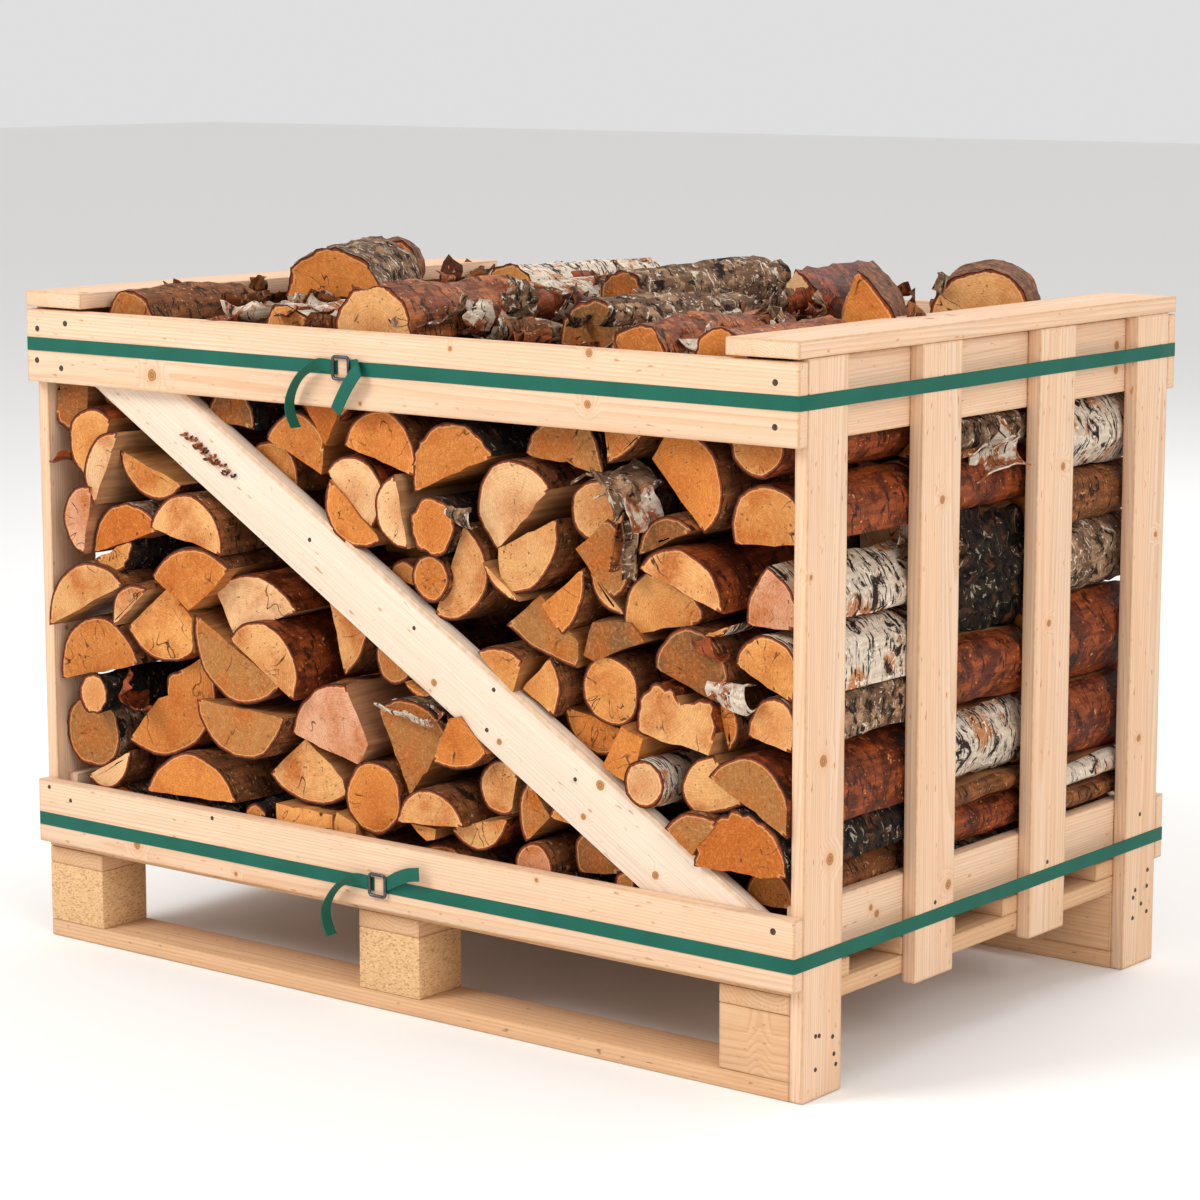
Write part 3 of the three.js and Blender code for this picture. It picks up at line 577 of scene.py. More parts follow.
# front row, seen end on: name, end tone, bark kind, outline as x, z in mm and the bark's bulge beyond each edge
frontLogs = [
    ("01", "tan", "red", [(-475, 703, 60), (-519, 624), (-482, 684)]),
    ("02", "pale", "brown", [(-459, 687, 38), (-500, 591)]),
    ("03", "tan", "brown", [(-471, 662, 40), (-357, 625)]),
    ("04", "pink", "brown", [(-505, 612, 46), (-524, 524)]),
    ("05", "strong", "grey", [(-519, 524), (-400, 563, 50)]),
    ("06", "tan", "black", [(-512, 518, 30), (-446, 545)]),
    ("08", "light", "brown", [(-588, 423), (-448, 490, 55)]),
    ("09", "orange", "brown", [(-582, 350), (-437, 385, 72)]),
    ("10", "pale", "brown", [(-469, 434), (-407, 487, 28)]),
    ("11", "tan", "red", [(-456, 432, 26), (-338, 412), (-340, 456), (-378, 494)]),
    ("12", "orange", "brown", [(-401, 507), (-334, 469), (-300, 492), (-262, 528, 31)]),
    ("13", "light", "brown", [(-400, 568), (-273, 544, 60)]),
    ("14", "brown", "red", [(-335, 462, 64), (-185, 386)]),
    ("15", "pale", "red", [(-278, 443), (-172, 481, 33), (-306, 496)]),
    ("16", "light", "red", [(-266, 440), (-154, 371, 60)]),
    ("17", "brown", "brown", [(-326, 354, 64), (-176, 347)]),
    ("18", "pink", "brown", [(-176, 328), (-64, 303), (-45, 329), (-63, 365), (-82, 399, 22)]),
    ("19", "light", "red", [(-220, 268, 25), (-94, 256), (-100, 276), (-161, 322)]),
    ("20", "orange", "brown", (-43, 262, 46)),
    ("21", "pale", "brown", [(-548, 225, 32), (-463, 269)]),
    ("22", "brown", "grey", (-540, 283, 48)),
    ("23", "light", "black", (-511, 340, 26)),
    ("24", "orange", "red", [(-466, 281, 32), (-321, 323, 5), (-312, 365, 5), (-335, 403), (-382, 380, 6),
                             (-400, 362), (-396, 347), (-412, 341)]),
    ("25", "orange", "brown", [(-423, 222), (-259, 228, 56)]),
    ("26", "tan", "black", [(-252, 214), (-218, 214, 16)]),
    ("27", "tan", "brown", [(-197, 196), (-104, 196), (-106, 232), (-197, 235)]),
    ("28", "tan", "brown", [(-110, 190), (-62, 190), (-64, 226), (-98, 238)]),
    ("30", "orange", "brown", [(-214, 693), (-125, 657), (-117, 697, 35)]),
    ("31", "strong", "black", [(-110, 694), (-78, 748, 14), (-150, 752)]),
    ("32", "dim", "black", [(-316, 716), (-236, 704, 44)]),
    ("33", "tan", "brown", [(-272, 652), (-175, 628, 48)]),
    ("34", "orange", "brown", [(-98, 653, 45), (-16, 585)]),
    ("35", "pale", "red", [(-107, 663), (-36, 597, 58)]),
    ("36", "orange", "brown", [(-75, 697), (40, 668, 62)]),
    ("37", "pale", "red", [(34, 580), (17, 669, 42)]),
    ("38", "orange", "black", (70, 610, 35)),
    ("39", "light", "brown", [(110, 615), (61, 500, 60)]),
    ("40", "orange", "brown", (62, 546, 28)),
    ("41", "orange", "black", [(40, 650), (162, 701, 62)]),
    ("42", "pale", "brown", [(161, 590), (242, 668, 74)]),
    ("43", "light", "brown", [(167, 593), (171, 543, 34), (256, 636)]),
    ("44", "light", "brown", [(146, 575, 12), (202, 533)]),
    ("45", "brown", "brown", [(168, 500, 6), (277, 460), (279, 492), (222, 541)]),
    ("46", "orange", "brown", [(227, 531), (256, 499, 14), (287, 579)]),
    ("47", "tan", "brown", [(138, 466), (192, 425), (208, 464, 11)]),
    ("48", "tan", "brown", [(202, 428), (246, 400, 14), (243, 470)]),
    ("49", "tan", "brown", [(-30, 540), (24, 528, 26)]),
    ("50", "brown", "black", [(199, 706), (309, 689, 60)]),
    ("51", "brown", "grey", [(-33, 375), (-16, 347), (18, 273), (46, 309), (79, 357, 26)]),
    ("52", "orange", "brown", [(67, 323, 14), (153, 343), (112, 385), (96, 379)]),
    ("53", "light", "brown", [(173, 270), (182, 322, 54)]),
    ("54", "light", "brown", [(11, 243), (118, 250, 44)]),
    ("55", "light", "red", [(84, 242, 33), (174, 267)]),
    ("56", "brown", "red", [(203, 315, 12), (200, 244), (238, 277)]),
    ("57", "pink", "brown", [(192, 205), (244, 205, 40)]),
    ("58", "tan", "brown", [(25, 241), (50, 222), (63, 226), (63, 239)]),
    ("59", "dim", "brown", [(272, 214), (338, 222, 54)]),
    ("60", "tan", "brown", [(334, 205), (360, 205, 26)]),
    ("61", "tan", "brown", [(236, 277), (276, 272, 22)]),
    ("62", "orange", "brown", [(250, 408, 42), (343, 388)]),
    ("63", "tan", "brown", (325, 439, 42)),
    ("64", "light", "red", [(374, 400), (478, 385), (487, 412, 3), (483, 433, 8), (471, 447, 3), (455, 444),
                            (437, 437), (431, 447, 6), (416, 454, 8), (392, 450, 5), (378, 429, 2)]),
    ("65", "orange", "brown", [(483, 456), (496, 390, 22)]),
    ("66", "dim", "brown", [(393, 475), (479, 447), (498, 473, 54)]),
    ("67", "tan", "white", [(506, 491), (590, 456, 57)]),
    ("68", "light", "grey", [(530, 414), (590, 401, 52)]),
    ("69", "pink", "white", [(518, 538), (583, 538, 7), (583, 574, 4), (547, 606, 9)]),
    ("70", "tan", "red", [(499, 626), (590, 632, 68)]),
    ("71", "tan", "red", [(497, 745, 42), (572, 745)]),
    ("72", "orange", "brown", [(383, 713), (461, 634, 54), (405, 745)]),
    ("73", "tan", "brown", [(325, 742), (328, 704, 8), (381, 742)]),
    ("74", "light", "grey", (308, 648, 38)),
    ("75", "brown", "brown", [(278, 601), (333, 547, 12), (352, 594, 12), (325, 640)]),
    ("76", "light", "brown", [(290, 577, 18), (343, 530)]),
    ("77", "tan", "brown", [(349, 508), (450, 530, 6), (450, 553), (378, 586, 16)]),
    ("78", "light", "red", [(378, 590), (493, 549, 47)]),
    ("79", "dim", "brown", [(375, 604), (452, 639, 30)]),
    ("80", "dim", "brown", [(290, 478), (305, 473), (378, 503), (358, 523), (300, 518)]),
    ("81", "pale", "white", (391, 342, 28)),
    ("82", "light", "red", [(441, 359, 10), (455, 313, 4), (525, 331), (482, 382, 6)]),
    ("83", "brown", "red", [(478, 361), (590, 306, 55)]),
    ("84", "strong", "black", [(464, 256), (590, 259, 70)]),
    ("85", "brown", "brown", [(421, 293), (462, 268), (497, 312, 14)]),
    ("86", "brown", "brown", [(508, 214), (572, 214, 42)]),
    ("87", "orange", "brown", [(327, 353), (369, 337), (389, 394), (358, 406)]),
    ("88", "tan", "white", [(469, 522, 8), (508, 537)]),
    ("89", "brown", "brown", (-17, 436, 32)),
    ("90", "light", "brown", [(-136, 524), (-108, 404, 8), (-60, 476), (-66, 520)]),
    ("92", "orange", "brown", [(28, 418, 8), (64, 404)]),
    ("94", "dim", "black", [(-528, 742, 20), (-440, 712), (-450, 765)]),
    ("95", "dim", "black", [(-586, 694, 10), (-530, 688), (-528, 740), (-585, 744)]),
]
# the two ends of the middle and rear rows: lowest and highest z in mm, and bark, from the bottom up
rightEndMiddle = [(224, 268, "red"), (270, 297, "brown"), (299, 387, "white"), (389, 474, "red"),
                  (476, 624, "black"), (626, 697, "red"), (699, 743, "grey")]
rightEndRear = [(224, 250, "brown"), (252, 284, "white"), (287, 382, "red"), (384, 495, "red"),
                (497, 584, "grey"), (586, 653, "brown"), (655, 743, "white")]
leftEndMiddle = [(224, 300, "grey"), (302, 352, "white"), (354, 446, "red"), (448, 500, "brown"),
                 (502, 596, "white"), (598, 664, "black"), (666, 743, "red")]
leftEndRear = [(224, 282, "brown"), (284, 370, "white"), (372, 430, "grey"), (432, 530, "red"),
               (532, 590, "black"), (592, 690, "brown"), (692, 743, "red")]
# the layers above and below what the side boards show: half widths in mm, from the left
topLayer = {
    "front": [(52, "red"), (44, "grey"), (60, "brown"), (40, "white"), (55, "red"), (48, "brown"), (58, "grey"),
              (42, "red"), (56, "black"), (50, "brown"), (52, "red")],
    "middle": [(46, "brown"), (58, "red"), (42, "white"), (54, "brown"), (50, "grey"), (60, "red"), (44, "black"),
               (56, "red"), (48, "brown"), (52, "white"), (47, "red")],
    "rear": [(56, "white"), (43, "red"), (57, "grey"), (49, "brown"), (53, "red"), (45, "black"), (60, "brown"),
             (50, "white"), (44, "red"), (55, "grey"), (45, "brown")],
}
rowPlaces = {"front": (-378.5, -130), "middle": (-124, 124), "rear": (130, 378.5)}
endReach = 24
frameFit = {"shortestStart": -381, "longestStart": -411, "behindBoard": -399, "braceBand": 36}


def sampled(outline):
    return [(x, z) for x, z, onBark in logOutline(outline)[0]]


def startOf(outline, rng):
    # logs beside the brace may stand a little proud of the crate's boards; logs behind it may not
    points = sampled(outline)
    behindBrace = any(abs(z - 480 + 0.5956 * (x - 17)) < frameFit["braceBand"] for x, z in points)
    if behindBrace:
        return rng.uniform(-378, -366)
    behindBoard = max(z for x, z in points) > 738 or min(z for x, z in points) < 222
    return rng.uniform(frameFit["behindBoard"] if behindBoard else frameFit["longestStart"], frameFit["shortestStart"])


def mirrored(outline):
    # flipping left to right turns the point order round, so a bulge moves to the edge's other end
    if isinstance(outline, tuple):
        return (-outline[0], outline[1], outline[2])
    flipped = []
    count = len(outline)
    for i in reversed(range(count)):
        bulges = outline[i - 1][2:]
        flipped.append((-outline[i][0], outline[i][1], *bulges))
    return flipped


chance = random.Random(7)
for name, tone, bark, outline in frontLogs:
    makeLog("log_front_" + name, "log_row_front", outline, startOf(outline, chance), -130, tone, bark, int(name))
print("front row done")

for name, tone, bark, outline in frontLogs:
    flipped = mirrored(outline)
    if max(abs(x) for x, z in sampled(flipped)) < 505:
        makeLog("log_rear_" + name, "log_row_rear", flipped, 130, -startOf(flipped, chance), tone, bark,
                200 + int(name))
toneNames = ["tan", "pale", "light", "orange", "brown", "pink"]


def endColumn(row, side, column, seed):
    near, far = rowPlaces[row]
    for i, (low, high, bark) in enumerate(column):
        deep = chance.uniform(78, 104)
        bulge = min(30, (high - low) * 0.42)
        out = 588 - bulge - chance.uniform(0, 7)
        shape = [(588 - deep, low + 3), (out, low + 1, bulge), (out, high - 1), (590 - deep, high - 4)]
        if side < 0:
            shape = mirrored(shape)
        start = near if row == "middle" else near + chance.uniform(0, 6)
        reach = far if row == "middle" else far + endReach
        makeLog(f"log_{row}_{'right' if side > 0 else 'left'}{i + 1}", "log_row_" + row, shape, start, reach,
                chance.choice(toneNames), bark, seed + i, None, 2.6 if bark == "black" else 1.9)


endColumn("middle", 1, rightEndMiddle, 310)
endColumn("middle", -1, leftEndMiddle, 330)
endColumn("rear", 1, rightEndRear, 350)
endColumn("rear", -1, leftEndRear, 370)

# hidden middle of the middle row
for column in range(9):
    for level in range(6):
        x, z = -432 + 108 * column, 264 + 87 * level
        radius = chance.uniform(38, 44)
        makeLog(f"log_middle_{column + 1}{level + 1}", "log_row_middle", (x, z, radius), -124, 124, "tan",
                chance.choice(("red", "brown", "grey")), 400 + 10 * column + level)

layerShape = {"topFrom": 750, "topTo": 826, "bottomFrom": 147, "bottomTo": 220}
for index, (row, layer) in enumerate(topLayer.items()):
    near, far = rowPlaces[row]
    spare = (1140 - 2 * sum(half for half, bark in layer)) / len(layer)
    x = -570
    for i, (half, bark) in enumerate(layer):
        width = half + spare / 2
        x += width
        top = layerShape["topTo"] - chance.uniform(0, 14)
        low = layerShape["topFrom"] + chance.uniform(0, 8)
        shape = [(x - width + 1, low + 8), (x + width - 2, low, min(width * 0.95, top - low - 3))]
        if i % 3 == 1:
            shape = (x, top - width * 0.86, width * 0.9)
        seed = 500 + 20 * index + i
        tone = chance.choice(toneNames)
        start = near if row != "front" else chance.uniform(-397, -380)
        stop = far if row != "rear" else chance.uniform(380, 397)
        makeLog(f"log_{row}_top{i + 1}", "log_row_" + row, shape, start, stop, tone, bark, seed, None, 1.8)
        x += width
    for i in range(8):
        x = -500 + 142 * i + chance.uniform(-4, 4)
        width = chance.uniform(66, 70)
        low, high = layerShape["bottomFrom"], layerShape["bottomTo"]
        shape = [(x - width, low + 1), (x + width, low + 1, (high - low) * chance.uniform(0.86, 0.96))]
        makeLog(f"log_{row}_bottom{i + 1}", "log_row_" + row, shape, near - (0 if row == "middle" else -1), far,
                chance.choice(toneNames), chance.choice(("brown", "red", "grey")), 600 + 20 * index + i)
print("rows done")

# the loose heap on top: section, x, y and underside z in mm, radius, turn in degrees, length, tone and bark
heap = [
    ("half", -333, -92, 854, 66, 30, 250, "orange", "grey"),
    ("round", -452, 120, 826, 40, 40, 150, "strong", "brown"),
    ("half", -43, -256, 830, 62, 0, 246, "light", "rustLit"),
    ("half", -196, -264, 824, 36, 6, 226, "tan", "paper"),
    ("half", 262, -196, 826, 58, -8, 236, "dim", "grey"),
    ("round", 150, 22, 826, 40, -14, 246, "dim", "grey"),
    ("half", 366, -254, 824, 44, -6, 240, "orange", "rustLit"),
    ("half", 468, -262, 820, 42, 4, 240, "orange", "rustLit"),
    ("wedge", 436, -12, 832, 84, 30, 226, "orange", "brown"),
    ("wedge", 268, 170, 828, 72, 8, 226, "pale", "red"),
    ("half", 410, 284, 838, 64, 28, 180, "light", "brown"),
    ("half", -60, 10, 828, 54, 9, 240, "tan", "paper"),
    ("half", -210, 232, 828, 58, -12, 240, "tan", "white"),
    ("round", 10, 262, 816, 36, 6, 230, "orange", "red"),
    ("half", -452, -282, 822, 48, -3, 190, "brown", "brown"),
]
for i, (section, x, y, under, radius, turnDegrees, length, tone, bark) in enumerate(heap):
    if section == "round":
        shape = (0, radius, radius)
    elif section == "half":
        shape = [(-radius, 0), (radius, 0, radius * 0.97)]
    else:
        shape = [(-0.5 * radius, 0), (0.52 * radius, 0, 0.10 * radius), (-0.16 * radius, radius)]
    place = Matrix.Translation(Vector((x, y, under)) * mm) @ Matrix.Rotation(math.radians(turnDegrees), 4, "Z")
    makeLog(f"heap_log_{i + 1:02d}", f"top_log_{i + 1:02d}", shape, -length / 2, length / 2, tone, bark, 700 + i,
            place, 2.3)
print("heap done")


# green webbing straps

# Woven polyester webbing: tight ribs across the strap; real ribs are 1 mm apart, drawn at 2.4 mm so they show
# the light green is a painted highlight for the rib crests
webbingLook = {"face": "#036452", "low": "#024637", "light": "#0c7a64", "rib": 2.4, "width": 17, "thick": 1.2}


def webbingMaterial(look):
    material, tree, shader = newMaterial("polyesterWebbingWoven", 0.62, 0.3)
    run = addNode(tree, "UVMap", uv_map="weave")
    wave = addNode(tree, "TexWave", {"Scale": 0.314 / (look["rib"] * mm), "Distortion": 0.6, "Detail Scale": 4},
                   {"Vector": run}, wave_type="BANDS", bands_direction="DIAGONAL")
    cross = addNode(tree, "TexWave", {"Scale": 0.314 / (1.7 * mm), "Distortion": 0.4}, {"Vector": run},
                    wave_type="BANDS", bands_direction="Y")
    weave = addNode(tree, "Math", links={0: wave, 1: cross}, operation="MULTIPLY")
    soil = addNode(tree, "TexNoise", {"Scale": 14, "Detail": 4}, {"Vector": run})
    dark = addNode(tree, "Mix", {6: linear(look["face"]), 7: linear(look["low"])}, {0: soil}, data_type="RGBA")
    # painted highlight: where the weave's bump is highest, the rib crests are mixed towards the lighter green
    ribHighlightMask = addNode(tree, "MapRange", {"From Min": 0.25, "From Max": 0.9, "To Max": 0.35}, {"Value": weave})
    ribHighlighted = addNode(tree, "Mix", {7: linear(look["light"])}, {0: ribHighlightMask, 6: dark}, data_type="RGBA")
    tree.links.new(ribHighlighted.outputs[2], shader.inputs["Base Color"])
    bump = addNode(tree, "Bump", {"Strength": 0.5, "Distance": 0.35 * mm}, {"Height": weave})
    tree.links.new(bump.outputs[0], shader.inputs["Normal"])
    shader.inputs["Sheen Weight"].default_value = 0.0
    return material


webbing = webbingMaterial(webbingLook)


def makeRibbon(name, node, stations, look):
    # a row of edges across the strap is extruded from station to station, then given its thickness
    bm = bmesh.new()
    runLayer = bm.verts.layers.float_vector.new("run")
    across = 4
    first, wide = stations[0]
    row = []
    for i in range(across + 1):
        share = i / across - 0.5
        vert = bm.verts.new((Vector(first) + Vector(wide).normalized() * share * look["width"]) * mm)
        vert[runLayer] = (0, share * look["width"] * mm, 0)
        row.append(vert)
    edges = [bm.edges.new((row[i], row[i + 1])) for i in range(across)]
    travelled = 0
    for previous, (spot, wide) in zip(stations, stations[1:]):
        travelled += (Vector(spot) - Vector(previous[0])).length * mm
        grown = bmesh.ops.extrude_edge_only(bm, edges=edges)["geom"]
        newVerts = {v for v in grown if isinstance(v, bmesh.types.BMVert)}
        edges = [e for e in grown if isinstance(e, bmesh.types.BMEdge)]
        pairs = []
        for vert in row:
            other = [e.other_vert(vert) for e in vert.link_edges if e.other_vert(vert) in newVerts][0]
            pairs.append(other)
        for i, vert in enumerate(pairs):
            share = i / across - 0.5
            vert.co = (Vector(spot) + Vector(wide).normalized() * share * look["width"]) * mm
            vert[runLayer] = (travelled, share * look["width"] * mm, 0)
        row = pairs
    uv = bm.loops.layers.uv.new("weave")
    for face in bm.faces:
        for loop in face.loops:
            loop[uv].uv = loop.vert[runLayer][:2]
    bmesh.ops.recalc_face_normals(bm, faces=bm.faces[:])
    bmesh.ops.solidify(bm, geom=bm.faces[:], thickness=look["thick"] * mm)
    return finishPiece(bm, name, [webbing], [node], 0.8)


def smoothPath(points, parts):
    # Catmull-Rom between given stations
    dense = []
    padded = [points[0], *points, points[-1]]
    for a, b, c, d in zip(padded, padded[1:], padded[2:], padded[3:]):
        for k in range(parts):
            t = k / parts
            mixed = []
            for p, q, r, s in ((a[i], b[i], c[i], d[i]) for i in range(2)):
                p, q, r, s = map(Vector, (p, q, r, s))
                mixed.append(0.5 * ((2 * q) + (r - p) * t + (2 * p - 5 * q + 4 * r - s) * t * t
                                    + (3 * q - p - 3 * r + s) * t ** 3))
            dense.append(mixed)
    dense.append(points[-1])
    return dense


strapShape = {"halfX": 609.95, "halfY": 418.95, "corner": 2.6, "gap": 8, "wander": 0.5}
strapPlaces = {
    # buckle x and strap z in mm; each tail is centre point and width direction, relative to the buckle
    "upper": {"x": -57, "z": 793.5, "leftTail": [
        ((-12, -421.0, 0), (0, 0, 1)), ((-22, -422.5, 2), (0.02, -0.15, 1)), ((-34, -427, 3), (0.1, -0.55, 0.8)),
        ((-50, -431, -5), (0.22, -0.85, 0.45)), ((-65, -432, -20), (0.15, -0.97, 0.2)),
        ((-75, -432, -40), (0.05, -1, 0.05)), ((-76, -431, -58), (0, -1, 0)), ((-68, -430, -76), (-0.05, -1, 0))], "rightTail": [
        ((9, -421.2, 1), (0, 0, 1)), ((20, -422, 3), (-0.1, 0, 1)), ((31, -425, 4), (-0.3, 0, 0.95)),
        ((35, -429, 0), (-0.447, 0.1, 0.894)), ((30, -432, -7), (-0.65, 0, 0.76)), ((19, -432, -21), (-0.8, 0, 0.6)),
        ((7, -430, -37), (-0.8, 0, 0.6)), ((-4, -427, -52), (-0.8, 0, 0.6))]},
    "lower": {"x": -7, "z": 163.5, "leftTail": [
        ((-12, -421.0, 0), (0, 0, 1)), ((-22, -422.5, 3), (0.02, -0.15, 1)), ((-34, -427, 5), (0.1, -0.55, 0.8)),
        ((-50, -431, -2), (0.22, -0.85, 0.45)), ((-65, -432, -16), (0.15, -0.97, 0.2)),
        ((-76, -432, -35), (0.05, -1, 0.05)), ((-77, -431, -53), (0, -1, 0)), ((-70, -430, -72), (-0.05, -1, 0))], "rightTail": [
        ((9, -421.2, 1), (0, 0, 1)), ((21, -423, 7), (-0.15, 0, 0.99)), ((37, -427, 15), (-0.32, 0, 0.94)),
        ((57, -431, 23), (-0.22, 0, 0.97)), ((76, -433, 27), (-0.05, 0, 1))]},
}


def bandStations(place, shape):
    x, z = place["x"], place["z"]
    hx, hy, round_ = shape["halfX"], shape["halfY"], shape["corner"]
    legs = [((x + shape["gap"], -hy), (hx - round_, -hy)), ((hx, -hy + round_), (hx, hy - round_)),
            ((hx - round_, hy), (-hx + round_, hy)), ((-hx, hy - round_), (-hx, -hy + round_)),
            ((-hx + round_, -hy), (x - shape["gap"], -hy))]
    stations = []
    for start, stop in legs:
        length = math.dist(start, stop)
        steps = max(2, round(length / 45))
        for k in range(steps + 1):
            px = start[0] + (stop[0] - start[0]) * k / steps
            py = start[1] + (stop[1] - start[1]) * k / steps
            lift = noise.noise(Vector((px * 0.006, py * 0.006, z))) * shape["wander"]
            stations.append(((px, py, z + lift), (0, 0, 1)))
    return stations


# Drawn steel wire, zinc grey gone dark: soft metal highlights with a little tarnish
wireLook = {"bright": "#6f747a", "tarnish": "#2b2d31", "radius": 2.1, "halfWide": 12.7, "halfHigh": 13.4, "corner": 4}


def wireMaterial(look):
    material, tree, shader = newMaterial("steelWireDrawn", 0.32, 0.5, 1.0)
    place = addNode(tree, "TexCoord").outputs["Object"]
    spots = addNode(tree, "TexNoise", {"Scale": 220, "Detail": 3}, {"Vector": place})
    tone = addNode(tree, "Mix", {6: linear(look["bright"]), 7: linear(look["tarnish"])}, {0: spots}, data_type="RGBA")
    rough = addNode(tree, "MapRange", {"To Min": 0.2, "To Max": 0.5}, {"Value": spots})
    drawn = addNode(tree, "TexWave", {"Scale": 300, "Distortion": 1}, {"Vector": place}, bands_direction="DIAGONAL")
    bump = addNode(tree, "Bump", {"Strength": 0.15, "Distance": 0.1 * mm}, {"Height": drawn})
    tree.links.new(tone.outputs[2], shader.inputs["Base Color"])
    tree.links.new(rough.outputs[0], shader.inputs["Roughness"])
    tree.links.new(bump.outputs[0], shader.inputs["Normal"])
    return material


wire = wireMaterial(wireLook)


def makeBuckle(level, place, look):
    # a wire ring's circle is set at each point of a rounded rectangle, and each is bridged to the next, the last to
    # the first
    wide, high, corner = look["halfWide"], look["halfHigh"], look["corner"]
    path = []
    for sx, sz, quarter in ((1, 1, 0), (-1, 1, 1), (-1, -1, 2), (1, -1, 3)):
        for k in range(5):
            angle = (quarter + k / 4) * math.pi / 2
            path.append(Vector((sx * (wide - corner) + corner * math.cos(angle), 0,
                                sz * (high - corner) + corner * math.sin(angle))))
    bm = bmesh.new()
    loops = []
    for i, spot in enumerate(path):
        along = (path[(i + 1) % len(path)] - path[i - 1]).normalized()
        turnTo = along.to_track_quat("Z", "Y").to_matrix().to_4x4()
        centre = Vector((place["x"], -422.4, place["z"])) + spot
        made = bmesh.ops.create_circle(bm, segments=10, radius=look["radius"] * mm, cap_ends=False,
                                       matrix=Matrix.Translation(centre * mm) @ turnTo)
        loops.append(list({e for v in made["verts"] for e in v.link_edges}))
    for i, loop in enumerate(loops):
        bmesh.ops.bridge_loops(bm, edges=loop + loops[(i + 1) % len(loops)])
    finishPiece(bm, f"wire_buckle_{level}", [wire], [f"buckle_{level}"], 1.2)


for level, place in strapPlaces.items():
    makeRibbon(f"webbing_band_{level}", f"strap_{level}", bandStations(place, strapShape), webbingLook)
    for side in ("left", "right"):
        tail = [((x + place["x"], y, z + place["z"]), wide) for (x, y, z), wide in place[side + "Tail"]]
        makeRibbon(f"webbing_tail_{level}_{side}", f"strap_{level}", smoothPath(tail, 5), webbingLook)
    makeBuckle(level, place, wireLook)
print("straps done")


# nails and screws

# Zinc-plated screw and nail heads, dull and slightly rusty at the rim
nailShape = {"screwRadius": 4.2, "nailRadius": 3.0, "stand": 0.5}
frontHeads = {"screw": [(-589, 813), (-537, 822), (-591, 772), (-546, 764), (577, 815), (577, 766), (580, 200)],
              "nail": [(-589, 207), (-549, 194), (-290, 207)]}
braceHeads = [(-132, 576), (37, 484), (161, 423), (150, 373), (284, 331)]
rightHeads = [(-374, 74), (-367, 73), (-340, 66), (-337, 45), (-374, 35), (-333, 32), (358, 199), (382, 121),
              (351, 100), (381, 100), (346, 91), (367, 79), (346, 64), (382, 66), (-400, 800), (-126, 800),
              (128, 800), (380, 800), (-128, 180), (128, 180)]


def nailMetal():
    # heads weathered to a dull dark brown, so they read as small dark dots with a soft shine
    material, tree, shader = newMaterial("nailRusted", 0.55, 0.4, 0.55)
    place = addNode(tree, "TexCoord").outputs["Object"]
    spots = addNode(tree, "TexNoise", {"Scale": 900, "Detail": 3}, {"Vector": place})
    tone = addNode(tree, "ValToRGB", links={"Fac": spots}, stops=[(0.35, "#2b221c"), (0.7, "#6a5648")])
    tree.links.new(tone.outputs[0], shader.inputs["Base Color"])
    return material


nailHead = nailMetal()


def makeHeads(name, spots, facing):
    bm = bmesh.new()
    for spot, radius in spots:
        turnTo = Vector(facing).to_track_quat("Z", "Y").to_matrix().to_4x4()
        place = Matrix.Translation(Vector(spot) * mm) @ turnTo
        made = bmesh.ops.create_cone(bm, cap_ends=True, segments=12, radius1=radius * mm, radius2=radius * 0.8 * mm,
                                     depth=nailShape["stand"] * 2 * mm, matrix=place)
        top = [f for f in {f for v in made["verts"] for f in v.link_faces} if f.normal.dot(Vector(facing)) > 0.9]
        bmesh.ops.inset_region(bm, faces=top, thickness=radius * 0.45 * mm)
        bmesh.ops.translate(bm, verts=list({v for f in top for v in f.verts}), vec=Vector(facing) * -0.3 * mm)
    finishPiece(bm, name, [nailHead])


screws = [((x, -418.2, z), nailShape["screwRadius"]) for x, z in frontHeads["screw"]]
nails = [((x, -418.2, z), nailShape["nailRadius"]) for x, z in frontHeads["nail"]]
makeHeads("nail_heads_front", screws + nails, (0, -1, 0))
makeHeads("nail_heads_brace", [((x, -400.2, z), nailShape["nailRadius"]) for x, z in braceHeads], (0, -1, 0))
makeHeads("nail_heads_right", [((609.2, y, z), nailShape["nailRadius"]) for y, z in rightHeads], (1, 0, 0))
makeHeads("nail_heads_left", [((-609.2, -y, z), nailShape["nailRadius"]) for y, z in rightHeads if z > 170],
          (-1, 0, 0))
makeHeads("nail_heads_rear", [((-x, 418.2, z), radius) for (x, y, z), radius in screws + nails], (0, 1, 0))
print("nails done")


# torn bark and chips

